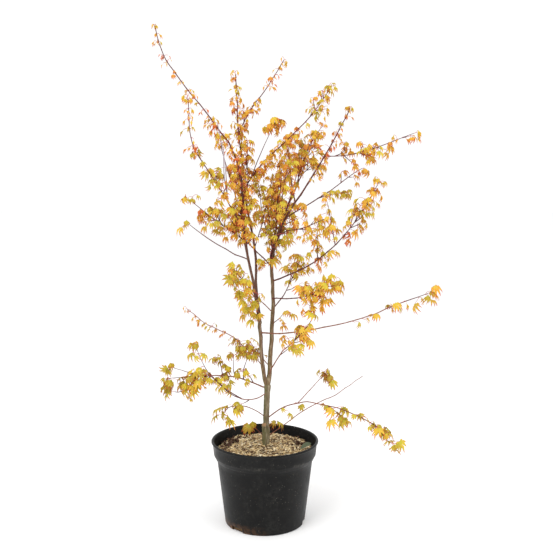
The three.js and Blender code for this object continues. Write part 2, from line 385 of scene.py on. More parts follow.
@dataclass(frozen=True)
class Bark:
    """Smooth maple bark, grown not made: satin and streaked along the wood.

    It gives the eye maroon twigs, olive brown stems with pale streaks, and green algae on the shaded side. The streaks
    are drawn about twice as wide as real ones, which would be too fine to show.
    """

    name: str
    thin: str = "#5a2220"
    middling: str = "#532c22"
    thick: str = "#83735a"
    pale: str = "#b0a088"
    algae: str = "#666331"
    lichen_grey: str = "#6c6c48"
    streak_mm: float = 3.0
    patch_mm: float = 18.0
    lichen_mm: float = 5.0
    depth: float = 0.22  # how dark the streaks are
    algae_share: float = 0.55
    lichen: float = 0.0  # how much lichen there is below lichen_top
    lichen_top: float = 0.0
    roughness: float = 0.6

    def material(self) -> bpy.types.Material:
        """Paint the bark, whose colour follows the girth.

        Returns:
            The material.
        """
        made, _ = principled(self.name, Roughness=self.roughness, Specular_IOR_Level=0.25)
        tree = made.node_tree
        place = add_node(tree, "ShaderNodeTexCoord").outputs["Object"]
        girth = add_node(tree, "ShaderNodeAttribute", {"attribute_name": "girth"}).outputs["Fac"]
        aged = add_node(tree, "ShaderNodeMapRange", inputs={"Value": girth, "From Min": 1.5 * MM, "From Max": 8 * MM})
        age = add_node(tree, "ShaderNodeValToRGB", inputs={0: aged})
        ramp = age.color_ramp.elements
        ramp[0].color, ramp[1].color = linear(self.thin), linear(self.thick)
        ramp.new(0.35).color = linear(self.middling)
        along = add_node(tree, "ShaderNodeMapping", inputs={"Vector": place, "Scale": (1.0, 1.0, 0.16)})
        scale = {"Vector": along, "Scale": 1 / (self.streak_mm * MM), "Detail": 4.0}
        streaks = add_node(tree, "ShaderNodeTexNoise", inputs=scale)
        dark = add_node(tree, "ShaderNodeMapRange", inputs={"Value": streaks, "From Min": 0.32, "From Max": 0.5})
        shade = {"Factor": self.depth, BELOW: age, ABOVE: dark}
        shaded = add_node(tree, "ShaderNodeMix", RGBA | {"blend_type": "MULTIPLY"}, shade)
        span = {"Value": streaks, "From Min": 0.52, "From Max": 0.72, "To Max": 0.8}
        lit = add_node(tree, "ShaderNodeMapRange", inputs=span)
        share = add_node(tree, "ShaderNodeMath", TIMES, {0: lit, 1: aged})
        streaked = add_node(tree, "ShaderNodeMix", RGBA, {"Factor": share, BELOW: shaded, ABOVE: linear(self.pale)})
        scale = {"Vector": place, "Scale": 1 / (self.patch_mm * MM), "Detail": 5.0}
        patches = add_node(tree, "ShaderNodeTexNoise", inputs=scale)
        normal = add_node(tree, "ShaderNodeNewGeometry").outputs["Normal"]
        facing = add_node(tree, "ShaderNodeSeparateXYZ", inputs={0: normal}).outputs["X"]
        leaning = add_node(tree, "ShaderNodeMath", {"operation": "MULTIPLY_ADD"}, {0: facing, 1: -0.4, 2: patches})
        span = {"Value": leaning, "From Min": 0.45, "From Max": 0.75, "To Max": self.algae_share}
        green = add_node(tree, "ShaderNodeMapRange", inputs=span)
        share = add_node(tree, "ShaderNodeMath", TIMES, {0: green, 1: aged})
        colour = add_node(tree, "ShaderNodeMix", RGBA, {"Factor": share, BELOW: streaked, ABOVE: linear(self.algae)})
        if self.lichen:
            height = add_node(tree, "ShaderNodeSeparateXYZ", inputs={0: place}).outputs["Z"]
            scale = {"Vector": place, "Scale": 1 / (self.lichen_mm * MM), "Detail": 3.0}
            spots = add_node(tree, "ShaderNodeTexNoise", inputs=scale)
            low = {"Value": height, "From Min": self.lichen_top, "From Max": self.lichen_top - 4 * MM}
            below = add_node(tree, "ShaderNodeMapRange", inputs=low)
            spread = {"Value": spots, "From Min": 0.42, "From Max": 0.6, "To Max": self.lichen}
            cover = add_node(tree, "ShaderNodeMapRange", inputs=spread)
            share = add_node(tree, "ShaderNodeMath", TIMES, {0: below, 1: cover})
            spotted = {"Factor": share, BELOW: colour, ABOVE: linear(self.lichen_grey)}
            colour = add_node(tree, "ShaderNodeMix", RGBA, spotted)
        paint(tree, colour, streaks, 0.5, 0.7 * MM)
        return made


@dataclass(frozen=True)
class PlainFinish:
    """One even colour for small things that are repeated many times, such as bark chips: matt, with no pattern."""

    name: str
    colour: str
    roughness: float = 0.8

    def material(self) -> bpy.types.Material:
        """Give the plain material."""
        colour = linear(self.colour)
        return principled(self.name, Base_Color=colour, Roughness=self.roughness, Specular_IOR_Level=0.3)[0]


@dataclass(frozen=True)
class CutWood:
    """Sawn and weathered end grain of the cut stub: dull tan, with grey-brown checks at their real size."""

    name: str = "weathered_end_grain"
    tan: str = "#b8946f"
    grey: str = "#6e5138"
    check_mm: float = 2.2

    def material(self) -> bpy.types.Material:
        """Paint the end grain.

        Returns:
            The material.
        """
        made, _ = principled(self.name, Roughness=0.8, Specular_IOR_Level=0.3)
        tree = made.node_tree
        place = add_node(tree, "ShaderNodeTexCoord").outputs["Object"]
        scale = {"Vector": place, "Scale": 1 / (self.check_mm * MM), "Detail": 4.0, "Distortion": 1.0}
        checks = add_node(tree, "ShaderNodeTexNoise", inputs=scale)
        blend = {"Factor": checks, BELOW: linear(self.tan), ABOVE: linear(self.grey)}
        paint(tree, add_node(tree, "ShaderNodeMix", RGBA, blend), checks, 0.5, 0.5 * MM)
        return made


@dataclass(frozen=True)
class PotPlastic:
    """Injection-moulded black polypropylene: a soft sheen over a fine grain.

    It gives the eye a black wall with grey smears, dust on the worn ledge, pale flecks and a soil-stained foot. The
    moulded grain is drawn at about 1 mm, coarser than real, so that it shows.
    """

    ledge: float  # height of the shoulder that gathers dust
    name: str = "moulded_polypropylene"
    black: str = "#060606"
    smear: str = "#3a3936"
    dust: str = "#55534d"
    soil: str = "#6b4a30"
    fleck: str = "#6f6b62"
    grain_mm: float = 1.2
    smear_mm: float = 45.0
    mottle_mm: float = 9.0
    scuff_mm: float = 6.0
    patch_mm: float = 50.0
    splash_mm: float = 12.0
    drift_mm: float = 30.0
    speck_mm: float = 7.0

    def material(self) -> bpy.types.Material:
        """Paint the plastic.

        Returns:
            The material.
        """
        made, shader = principled(self.name, Roughness=0.4, Specular_IOR_Level=0.17)
        tree = made.node_tree
        place = add_node(tree, "ShaderNodeTexCoord").outputs["Object"]
        axes = add_node(tree, "ShaderNodeSeparateXYZ", inputs={0: place}).outputs
        noises = {
            key: add_node(
                tree,
                "ShaderNodeTexNoise",
                inputs={"Vector": place, "Scale": 1 / (size * MM), "Detail": detail, "Roughness": roughness},
            )
            for key, size, detail, roughness in (
                ("smear", self.smear_mm, 8.0, 0.65),
                ("mottle", self.mottle_mm, 6.0, 0.7),
                ("scuff", self.scuff_mm, 6.0, 0.7),
                ("patch", self.patch_mm, 3.0, 0.5),
                ("splash", self.splash_mm, 6.0, 0.65),
                ("drift", self.drift_mm, 3.0, 0.5),
                ("grain", self.grain_mm, 2.0, 0.5),
            )
        }
        spots = add_node(tree, "ShaderNodeTexVoronoi", inputs={"Vector": place, "Scale": 1 / (self.speck_mm * MM)})
        # each layer's colour, and the ranges whose product is its share: value, from, to, most
        layers = (
            (self.smear, (noises["smear"], 0.42, 0.72, 1.0), (noises["mottle"], 0.38, 0.7, 0.5)),
            (
                self.dust,
                (axes["Z"], self.ledge - 7 * MM, self.ledge + 1 * MM, 1.0),
                (axes["Z"], self.ledge + 9 * MM, self.ledge + 2 * MM, 1.0),
                (noises["scuff"], 0.42, 0.62, 0.6),
                (noises["patch"], 0.4, 0.6, 1.0),
            ),
            (
                self.soil,
                (axes["Z"], 32 * MM, 2 * MM, 1.0),
                (axes["X"], 20 * MM, -80 * MM, 1.0),
                (noises["splash"], 0.4, 0.58, 0.85),
            ),
            (self.fleck, (spots, 0.19, 0.12, 0.5), (noises["drift"], 0.52, 0.6, 1.0)),
        )
        colour: Any = linear(self.black)
        for tone, *ranges in layers:
            share: Any = 1.0
            for value, low, high, most in ranges:
                span = {"Value": value, "From Min": low, "From Max": high, "To Max": most}
                ranged = add_node(tree, "ShaderNodeMapRange", inputs=span)
                share = add_node(tree, "ShaderNodeMath", TIMES, {0: share, 1: ranged})
            colour = add_node(tree, "ShaderNodeMix", RGBA, {"Factor": share, BELOW: colour, ABOVE: linear(tone)})
        span = {"Value": noises["smear"], "From Min": 0.3, "From Max": 0.7, "To Min": 0.33, "To Max": 0.55}
        gloss = add_node(tree, "ShaderNodeMapRange", inputs=span)
        tree.links.new(gloss.outputs["Result"], shader.inputs["Roughness"])
        paint(tree, colour, noises["grain"], 0.15, 0.3 * MM)
        return made


@dataclass(frozen=True)
class RootBall:
    """Damp milled peat and fine bark under the chips: dark, rough and crumbly, with crumbs a little over life size."""

    name: str = "bark_fines"
    dark: str = "#3a2a1c"
    light: str = "#7d6444"
    crumb_mm: float = 3.5

    def material(self) -> bpy.types.Material:
        """Paint the bark fines.

        Returns:
            The material.
        """
        made, _ = principled(self.name, Roughness=0.95, Specular_IOR_Level=0.2)
        tree = made.node_tree
        place = add_node(tree, "ShaderNodeTexCoord").outputs["Object"]
        scale = {"Vector": place, "Scale": 1 / (self.crumb_mm * MM), "Detail": 6.0, "Roughness": 0.7}
        crumbs = add_node(tree, "ShaderNodeTexNoise", inputs=scale)
        tones = add_node(tree, "ShaderNodeValToRGB", inputs={0: crumbs})
        for element, place_on, colour in zip(tones.color_ramp.elements, (0.35, 0.65), (self.dark, self.light)):
            element.position, element.color = place_on, linear(colour)
        paint(tree, tones, crumbs, 0.8, 2 * MM)
        return made


# ---- reading the frame ----


def merged(node: str) -> bmesh.types.BMesh:
    """Copy a node's mesh with its doubles merged.

    Args:
        node: The node's name.

    Returns:
        A new bmesh, which the caller frees.
    """
    copy = bmesh.new()
    copy.from_mesh(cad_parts[node].data)
    bmesh.ops.remove_doubles(copy, verts=copy.verts, dist=0.01 * MM)
    copy.verts.ensure_lookup_table()
    return copy


def catmull(points: Sequence[Vector], values: Sequence[float], step: float) -> tuple[list[Vector], list[float]]:
    """Run a smooth curve through points, at an even step.

    Args:
        points: The points it passes.
        values: A value at each point, blended in the same way.
        step: About how far apart the new points stand.

    Returns:
        The new points and values.
    """
    ends = [2 * points[0] - points[1], *points, 2 * points[-1] - points[-2]]
    line: list[Vector] = []
    sizes: list[float] = []
    for i in range(len(points) - 1):
        a, b, c, d = ends[i : i + 4]
        count = max(1, round((c - b).length / step))
        for k in range(count):
            t = k / count
            line.append(
                0.5 * (2 * b + (c - a) * t + (2 * a - 5 * b + 4 * c - d) * t**2 + (3 * b - a - 3 * c + d) * t**3)
            )
            sizes.append(values[i] + (values[i + 1] - values[i]) * t)
    return line + [points[-1].copy()], sizes + [values[-1]]


@dataclass
class Path:
    """A line of wood: evenly spaced points with a radius at each."""

    FINE: ClassVar[float] = 2.5 * MM  # step of the points that carry nodes and swellings

    name: str
    points: list[Vector]
    radii: list[float]

    def tangent(self, i: int) -> Vector:
        """Give the line's direction at point i."""
        low, high = max(i - 1, 0), min(i + 1, len(self.points) - 1)
        return (self.points[high] - self.points[low]).normalized()

    def jointed(self, rng: random.Random, every: float, flare: float = 0.4) -> "Path":
        """Swell the wood at its nodes, flare its foot and set it a little off line at each node.

        Args:
            rng: The chance that spaces the nodes.
            every: About how far apart the nodes stand.
            flare: How much thicker the foot is than the wood above it, as a share.

        Returns:
            A new path with finer points.
        """
        points, radii = catmull(self.points, self.radii, self.FINE)
        run, walked = [0.0], 0.0
        for a, b in zip(points, points[1:]):
            walked += (b - a).length
            run.append(walked)
        nodes, place = [], every * 0.7
        while place < walked - 4 * MM:
            kink = Vector([rng.gauss(0, 1) for _ in range(3)]) * min(1.0 * MM, 0.03 * every)
            nodes.append((place, kink))
            place += every * rng.uniform(0.7, 1.35) * (1.2 - 0.5 * place / walked)
        moved, swollen = [], []
        for point, radius, s in zip(points, radii, run):
            knob = sum(math.exp(-(((s - at) / (1.6 * MM + radius)) ** 2)) for at, _ in nodes)
            shift = Vector()
            for at, kink in nodes:
                shift += kink * max(0.0, 1 - abs(s - at) / every)
            slim = min(1.0, 1.5 * MM / radius)
            moved.append(point + shift)
            swollen.append(radius * (1 + 0.28 * slim * knob + flare * math.exp(-s / (2.2 * radii[0]))))
        return Path(self.name, moved, swollen)


BOWS = {"stem_east": Vector((5 * MM, 0, 0)), "stem_west": Vector((-1.5 * MM, 0, 0))}


class Skeleton:
    """Every limb's centre line, read back from the frame's solids."""

    STEP = 5 * MM

    def __init__(self, names: Iterable[str]) -> None:
        """Read the limbs.

        Args:
            names: The limb nodes.
        """
        self.paths: dict[str, Path] = {name: self.read(name) for name in names}
        for name, bow in BOWS.items():
            self.bend(self.paths[name], bow)
        self.loose: list[Path] = []
        for path in self.paths.values():
            self.root(path)
        log.info("limbs that start in leaves: %s", ", ".join(path.name for path in self.loose))

    def read(self, name: str) -> Path:
        """Read one limb as rings of corners ordered along it.

        Args:
            name: The limb's node.

        Returns:
            Its path, from the thick end to the thin one.
        """
        copy = merged(name)
        start = self.spread(copy, max(copy.verts, key=lambda v: (v.co - copy.verts[0].co).length).index)
        far = self.spread(copy, max(start, key=start.get))
        if name == "trunk":
            key, gap = (lambda v: v.co.z), 5 * MM
        else:
            key, gap = (lambda v: far[v.index]), 10 * MM
        order = sorted(copy.verts, key=key)
        rings: list[list[Vector]] = [[order[0].co.copy()]]
        for before, after in zip(order, order[1:]):
            if key(after) - key(before) > gap:
                rings.append([])
            rings[-1].append(after.co.copy())
        copy.free()
        centres = [sum(ring, Vector()) / len(ring) for ring in rings]
        radii = [sum((p - c).length for p in ring) / len(ring) for ring, c in zip(rings, centres)]
        if len(radii) > 3:
            radii[0], radii[-1] = radii[1], radii[-2]
        if radii[0] < radii[-1]:
            centres.reverse()
            radii.reverse()
        return Path(name, *catmull(centres, radii, self.STEP))

    @staticmethod
    def bend(path: Path, bow: Vector) -> None:
        """Bow a limb sideways between its two ends.

        Args:
            path: The limb.
            bow: How far its middle moves.
        """
        last = len(path.points) - 1
        path.points = [p + bow * math.sin(math.pi * i / last) ** 0.5 for i, p in enumerate(path.points)]

    @staticmethod
    def spread(copy: bmesh.types.BMesh, start: int) -> dict[int, float]:
        """Measure the way along edges from one corner to every other.

        Args:
            copy: The merged solid.
            start: The corner's number.

        Returns:
            The distance of each corner.
        """
        reached = {start: 0.0}
        queue = [(0.0, start)]
        while queue:
            so_far, index = heapq.heappop(queue)
            if so_far > reached[index]:
                continue
            for edge in copy.verts[index].link_edges:
                other = edge.other_vert(copy.verts[index]).index
                further = so_far + edge.calc_length()
                if further < reached.get(other, math.inf):
                    reached[other] = further
                    heapq.heappush(queue, (further, other))
        return reached

    def root(self, path: Path) -> None:
        """Carry a limb's foot into the heart of the wood that bears it.

        Args:
            path: The limb to carry on.
        """
        if path.name == "trunk":
            return
        foot, best, heart = path.points[0], math.inf, None
        for other in self.paths.values():
            if other is path:
                continue
            for point, radius in zip(other.points, other.radii):
                away = (point - foot).length - radius
                if away < best:
                    best, heart = away, point
        if heart is not None and best < 12 * MM:
            path.points.insert(0, heart.copy())
            path.radii.insert(0, path.radii[0] * 1.25)
        else:
            self.loose.append(path)


class Mass:
    """A foliage solid: the room that its shoots and leaves fill."""

    def __init__(self, name: str) -> None:
        """Read the solid.

        Args:
            name: The foliage node.
        """
        self.name = name
        copy = merged(name)
        self.corners = [v.co.copy() for v in copy.verts]
        self.tree = BVHTree.FromBMesh(copy)
        copy.free()
        self.centre = sum(self.corners, Vector()) / len(self.corners)

    def room(self, start: Vector, way: Vector, clear: float) -> float:
        """Measure how far the mass reaches.

        Args:
            start: Where to measure from, inside the mass.
            way: The direction.
            clear: How far to step first, past the wood's own hole.

        Returns:
            The distance to the mass's skin.
        """
        hit = self.tree.ray_cast(start + way * clear, way, 1.0)
        return clear + hit[3] if hit[3] is not None else 0.0

    def away(self, point: Vector) -> float:
        """Give the distance from a point to the mass's skin."""
        return self.tree.find_nearest(point)[3]

    def leader(self, bough: Path, aim: Vector, short: float, onward: Path | None) -> Path:
        """Grow a bough on from where it enters to the mass's far side, or to the limb that starts in the mass.

        Args:
            bough: The bough that ends at the mass.
            aim: The way that the leader heads at its tip.
            short: How far it stops short of the mass's skin.
            onward: The limb that it carries, where there is one.

        Returns:
            The leader's path.
        """
        start = bough.points[-1]
        out = bough.tangent(len(bough.points) - 1)
        tip = self.centre + aim * max(0.0, self.room(self.centre, aim, 0.0) - short)
        end = 0.45 * bough.radii[-1]
        if onward:
            tip, aim, end = onward.points[2], onward.tangent(2), onward.radii[2]
        span = (tip - start).length
        bends = [start, start + out * span * 0.36, tip - aim * span * 0.3, tip]
        count = max(3, round(span / Skeleton.STEP))
        points, radii = [], []
        for k in range(count + 1):
            t = k / count
            u = 1 - t
            points.append(
                u**3 * bends[0] + 3 * u * u * t * bends[1] + 3 * u * t * t * bends[2] + t**3 * bends[3]
            )
            radii.append(bough.radii[-1] * u + end * t)
        return Path(f"{bough.name}_on", points, radii)


# ---- leaves ----


@dataclass(frozen=True)
class LeafForm:
    """One way that a palmate leaf holds its lobes; the middle lobe is one unit long."""

    name: str
    spread: float  # degrees between neighbouring lobes
    lengths: tuple[float, ...]  # from the middle lobe outwards
    arch: float  # how far, in degrees, the middle lobe bends down from heart to tip
    cup: float  # how steeply the outer lobes set off downwards
    fold: float  # how steeply each lobe is creased along its rib
    width: float = 0.125

    def mesh(self, rng: random.Random) -> bpy.types.Mesh:
        """Build the blade.

        Args:
            rng: The chance that makes each blade a little uneven.

        Returns:
            A mesh with a face attribute named zone.
        """
        built = bmesh.new()
        zone_layer = built.faces.layers.int.new("zone")
        sides = len(self.lengths) - 1
        angles = [i * self.spread for i in range(-sides, sides + 1)]
        bend = math.radians(self.arch)

        def put(reach: float, off: float, angle: float) -> bmesh.types.BMVert:
            """Place a corner of the bent blade.

            Args:
                reach: How far along the lobe it lies.
                off: How far off the lobe's rib.
                angle: The lobe's angle in degrees.

            Returns:
                The corner.
            """
            turn = math.radians(angle)
            out = Vector((math.sin(turn), math.cos(turn), 0))
            side = Vector((math.cos(turn), -math.sin(turn), 0))
            start = self.cup * abs(turn)
            end = start + bend * reach
            flat = (math.sin(end) - math.sin(start)) / bend
            fall = (math.cos(start) - math.cos(end)) / bend
            lift = (out * math.sin(end) + UP * math.cos(end)) * self.fold * abs(off)
            return built.verts.new(out * flat - UP * fall + side * off + lift)

        heart = built.verts.new((0, 0, 0))
        notches = [put(0.16, 0, angles[0] - self.spread * 0.7)]
        notches += [put(0.25, 0, (low + high) / 2) for low, high in zip(angles, angles[1:])]
        notches.append(put(0.16, 0, angles[-1] + self.spread * 0.7))

        def face(zone: Zone, *corners: bmesh.types.BMVert) -> None:
            """Add a face of one zone."""
            built.faces.new(corners)[zone_layer] = zone.value

        for i, angle in enumerate(angles):
            size = self.lengths[abs(i - sides)] * rng.uniform(0.9, 1.06)
            lean = angle + rng.uniform(-4, 4)
            wide = self.width * (0.55 + 0.45 * size)
            rib = [put(f * size, 0, lean) for f in (0.3, 0.54, 0.77)]
            left = [put(0.5 * size, -wide, lean), put(0.77 * size, -0.5 * wide, lean)]
            right = [put(0.5 * size, wide, lean), put(0.77 * size, 0.5 * wide, lean)]
            point = put(size * 1.12, 0, lean + rng.uniform(-3, 3))
            face(Zone.HEART, heart, rib[0], notches[i])
            face(Zone.HEART, heart, notches[i + 1], rib[0])
            face(Zone.BODY, notches[i], rib[0], rib[1], left[0])
            face(Zone.BODY, rib[0], notches[i + 1], right[0], rib[1])
            face(Zone.BODY, left[0], rib[1], rib[2], left[1])
            face(Zone.BODY, rib[1], right[0], right[1], rib[2])
            face(Zone.TIP, left[1], rib[2], point)
            face(Zone.TIP, rib[2], right[1], point)
        bmesh.ops.recalc_face_normals(built, faces=built.faces)
        mesh = bpy.data.meshes.new(f"leaf_{self.name}")
        built.to_mesh(mesh)
        built.free()
        return mesh


class Hold(Enum):
    """How open a leaf hangs."""

    OPEN = 0
    ARCHED = 1
    HANGING = 2
    FOLDED = 3
    SINGLE = 4


FORMS = {
    Hold.OPEN: LeafForm("open", 31, (1.0, 0.94, 0.76, 0.42), 40, 0.12, 0.45),
    Hold.ARCHED: LeafForm("arched", 27, (1.0, 0.95, 0.8, 0.45), 62, 0.28, 0.6),
    Hold.HANGING: LeafForm("hanging", 21, (1.0, 0.95, 0.8), 50, 0.42, 0.8),
    Hold.FOLDED: LeafForm("folded", 17, (1.0, 0.9), 35, 0.5, 1.1, 0.13),
    Hold.SINGLE: LeafForm("single", 9, (1.0,), 30, 0.3, 0.9, 0.16),
}


@dataclass(frozen=True)
class Habit:
    """How the wood in one part of the tree bears its leaves."""

    leaf: float  # width of a leaf, metres
    node: float  # from one pair of buds to the next
    tints: tuple[float, ...]  # weight of each tint
    holds: tuple[float, ...]  # weight of each hold
    crowd: tuple[float, ...] = (3, 4, 1, 0)  # weight of one, two, three and four leaves to a bud
    share: float = 0.8  # how often a bud has grown
    reach: float = 0.9  # share of the room that a side shoot takes
    longest: float = 95 * MM
    climb: float = 0.05  # how fast shoots turn upwards
    wander: float = 0.08  # how crooked shoots grow
    upright: float = 1.0  # how closely side shoots follow the wood that bears them


@dataclass
class Growth:
    """Everything that has grown in one part of the tree."""

    twigs: list[Path] = field(default_factory=list)
    stalks: list[Path] = field(default_factory=list)
    places: list[tuple[Vector, Matrix, float, int, int]] = field(default_factory=list)


class Grower:
    """Grows side shoots and tufts of leaves in opposite pairs, each pair turned a quarter from the last."""

    STALK_RADIUS = 0.55 * MM
    SHOOT_RADIUS = 1.4 * MM
    BARE_RADIUS = 2.6 * MM  # thicker wood bears side shoots only

    def __init__(self, seed: int) -> None:
        """Fix the chance.

        Args:
            seed: The seed.
        """
        self.rng = random.Random(seed)
        self.growth = Growth()

    def pick(self, weights: Sequence[float]) -> int:
        """Draw a number by its weight."""
        return self.rng.choices(range(len(weights)), weights)[0]

    def leaf(self, bud: Vector, way: Vector, habit: Habit, tint: int) -> None:
        """Hang one leaf from a bud.

        Args:
            bud: Where its stalk starts.
            way: Where its stalk points.
            habit: The habit here.
            tint: The spray's tint.
        """
        rng = self.rng
        size = habit.leaf * rng.uniform(0.7, 1.12)
        hold = self.pick(habit.holds)
        flat = Vector((way.x, way.y, 0.0))
        if flat.length < 0.15:
            angle = rng.uniform(0, math.tau)
            flat = Vector((math.cos(angle), math.sin(angle), 0))
        flat.normalize()
        long = size * rng.uniform(0.2, 0.5)
        bend = bud + way * long * 0.55
        end = bend + (way + flat * 0.6 - UP * 0.5).normalized() * long * 0.45
        self.growth.stalks.append(Path("stalk", [bud, bend, end], [self.STALK_RADIUS] * 3))
        fall = math.radians(rng.gauss(38, 16) if hold <= Hold.ARCHED.value else rng.gauss(58, 22))
        main = flat * math.cos(fall) - UP * math.sin(fall)
        main = Matrix.Rotation(rng.gauss(0, 0.45), 3, "Z") @ main
        normal = (UP - main * UP.dot(main)).normalized()
        normal = Matrix.Rotation(rng.gauss(0, 0.5), 3, main) @ normal
        side = main.cross(normal)
        turn = Matrix((side, main, normal)).transposed()
        tint = min(max(tint + rng.choice((-1, 0, 0, 0, 1)), 0), len(TINTS) - 1)
        self.growth.places.append((end, turn, size * 0.64, hold, tint))

    def tuft(self, bud: Vector, way: Vector, habit: Habit, tint: int, extra: int = 0) -> None:
        """Open one bud: a stub of shoot with one to four leaves.

        Args:
            bud: Where it sits.
            way: Where it points.
            habit: The habit here.
            tint: The spray's tint.
            extra: Leaves beyond the number drawn.
        """
        rng = self.rng
        count = self.pick(habit.crowd) + 1 + extra
        end = bud + way * habit.leaf * rng.uniform(0.05, 0.3)
        self.growth.stalks.append(Path("stub", [bud, end], [1.3 * self.STALK_RADIUS] * 2))
        turn = rng.uniform(0, math.tau)
        for number in range(count):
            side = self.across(way, turn + math.pi * number + rng.gauss(0, 0.3) + (number // 2) * math.pi / 2)
            self.leaf(end, (way * rng.uniform(0.3, 0.9) + side).normalized(), habit, tint)

    def shoot(self, start: Vector, way: Vector, length: float, habit: Habit, tint: int, depth: int) -> None:
        """Grow one side shoot with its own pairs of tufts.

        Args:
            start: Where it leaves the wood.
            way: The way that it sets off.
            length: How long it grows.
            habit: The habit here.
            tint: The spray's tint.
            depth: How many more times it may branch.
        """
        rng = self.rng
        count = max(2, round(length / (7 * MM)))
        heading = way.copy()
        points = [start.copy()]
        for _ in range(count):
            heading = (heading + Vector([rng.gauss(0, habit.wander) for _ in range(3)]) + UP * habit.climb).normalized()
            points.append(points[-1] + heading * length / count)
        radii = [self.SHOOT_RADIUS * (1.25 - 0.7 * k / count) for k in range(count + 1)]
        path = Path("shoot", points, radii)
        self.growth.twigs.append(path)
        every = max(1, round(habit.node * 0.8 / (length / count)))
        turn = rng.uniform(0, math.tau)
        for k in range(max(every, count // 4), count, every):
            for half in (0.0, math.pi):
                if rng.random() > habit.share:
                    continue
                side = self.across(path.tangent(k), turn + half)
                out = (side + path.tangent(k) * 0.8).normalized()
                if depth and length > 45 * MM and rng.random() < 0.5:
                    self.shoot(points[k], out, length * rng.uniform(0.3, 0.55), habit, tint, depth - 1)
                else:
                    self.tuft(points[k], out, habit, tint)
            turn += math.pi / 2
        self.tuft(points[-1], heading, habit, tint, extra=1)

    @staticmethod
    def across(along: Vector, turn: float) -> Vector:
        """Give a direction square to the wood.

        Args:
            along: The wood's direction.
            turn: The angle round it.

        Returns:
            The unit direction.
        """
        return Matrix.Rotation(turn, 3, along) @ along.orthogonal().normalized()

    def clothe(self, path: Path, low: int, high: int, habit: Habit, mass: Mass | None) -> None:
        """Grow side shoots and leaves along a stretch of wood.

        Args:
            path: The wood.
            low: The stretch's first point.
            high: Its last point.
            habit: The habit here.
            mass: The mass that the shoots fill, or none for tufts straight on the wood.
        """
        rng = self.rng
        turn, k = rng.uniform(0, math.tau), float(low)
        while k <= high:
            i = int(k)
            tint = self.pick(habit.tints)
            for half in (0.0, math.pi):
                if rng.random() > habit.share:
                    continue
                side = self.across(path.tangent(i), turn + half + rng.gauss(0, 0.25))
                way = (side + path.tangent(i) * rng.uniform(0.7, 1.4) * habit.upright).normalized()
                room = mass.room(path.points[i], way, path.radii[i] + 2 * MM) if mass else 0.0
                length = min(room * habit.reach * rng.uniform(0.65, 1.0) - habit.leaf * 0.6, habit.longest)
                if length > 12 * MM:
                    self.shoot(path.points[i], way, length, habit, tint, 1)
                elif not mass or path.radii[i] < self.BARE_RADIUS:
                    self.tuft(path.points[i], way, habit, tint)
            turn += math.pi / 2
            k += habit.node * rng.uniform(0.75, 1.3) / Skeleton.STEP
        if high >= len(path.points) - 2:
            end = len(path.points) - 1
            self.tuft(path.points[end], path.tangent(end), habit, self.pick(habit.tints), extra=1)


# ---- trees that dress the wood and hang the leaves ----


@dataclass(frozen=True)
class Skin:
    """How finely a kind of wood is drawn."""

    sides: int
    relief: float = 0.0  # full height of the bark's relief, metres
    grain_mm: float = 5.0  # size of the relief's waves


TRUNK_SKIN = Skin(40, 2.0 * MM, 8.0)
STUB_SKIN = Skin(24, 1.2 * MM)
STEM_SKIN = Skin(20, 0.8 * MM, 6.0)
LEAD_SKIN = Skin(14, 0.6 * MM, 6.0)
BOUGH_SKIN = Skin(10, 0.5 * MM)
TWIG_SKIN = Skin(6)
STALK_SKIN = Skin(4)


class Woodwork:
    """Bark tubes along paths, with the relief that their bark has."""

    def __init__(self) -> None:
        """Build the geometry tree once."""
        inputs = {"Sides": "Int", "Relief": "Float", "Grain": "Float", "Bark": "Material"}
        self.tree, given = geometry_tree("bark_tube", inputs)
        tree = self.tree
        curve = add_node(tree, "GeometryNodeMeshToCurve", inputs={"Mesh": given.outputs["Geometry"]})
        girth = add_node(tree, "GeometryNodeInputNamedAttribute", {"data_type": "FLOAT"}, {"Name": "girth"})
        round_line = {"Resolution": given.outputs["Sides"], "Radius": 1.0}
        profile = add_node(tree, "GeometryNodeCurvePrimitiveCircle", inputs=round_line)
        swept = {"Curve": curve, "Profile Curve": profile, "Scale": girth, "Fill Caps": True}
        tube = add_node(tree, "GeometryNodeCurveToMesh", inputs=swept)
        grain = add_node(tree, "ShaderNodeTexNoise", inputs={"Scale": given.outputs["Grain"], "Detail": 3.0})
        centred = add_node(tree, "ShaderNodeMath", {"operation": "SUBTRACT"}, {0: grain, 1: 0.5})
        height = add_node(tree, "ShaderNodeMath", TIMES, {0: centred, 1: given.outputs["Relief"]})
        normal = add_node(tree, "GeometryNodeInputNormal")
        offset = add_node(tree, "ShaderNodeVectorMath", {"operation": "SCALE"}, {0: normal, "Scale": height})
        raised = add_node(tree, "GeometryNodeSetPosition", inputs={"Geometry": tube, "Offset": offset})
        soft = add_node(tree, "GeometryNodeSetShadeSmooth", inputs={"Geometry": raised})
        whole = add_node(tree, "GeometryNodeRealizeInstances", inputs={"Geometry": soft})
        barked = {"Geometry": whole, "Material": given.outputs["Bark"]}
        done = add_node(tree, "GeometryNodeSetMaterial", inputs=barked)
        add_node(tree, "NodeGroupOutput", inputs={0: done})

    def dress(self, name: str, paths: Sequence[Path], bark: bpy.types.Material, skin: Skin) -> bpy.types.Object:
        """Make one piece of bark round several paths.

        Args:
            name: The piece's name.
            paths: The wood's lines.
            bark: The material.
            skin: How finely the tubes are drawn.

        Returns:
            The finished piece.
        """
        corners, edges, girths = [], [], []
        for path in paths:
            first = len(corners)
            corners += [tuple(p) for p in path.points]
            girths += path.radii
            edges += [(first + k, first + k + 1) for k in range(len(path.points) - 1)]
        mesh = bpy.data.meshes.new(name)
        mesh.from_pydata(corners, edges, [])
        mesh.attributes.new("girth", "FLOAT", "POINT").data.foreach_set("value", girths)
        values = {"Sides": skin.sides, "Relief": skin.relief, "Grain": 1 / (skin.grain_mm * MM), "Bark": bark}
        return settle(plain_object(name, mesh), self.tree, values)


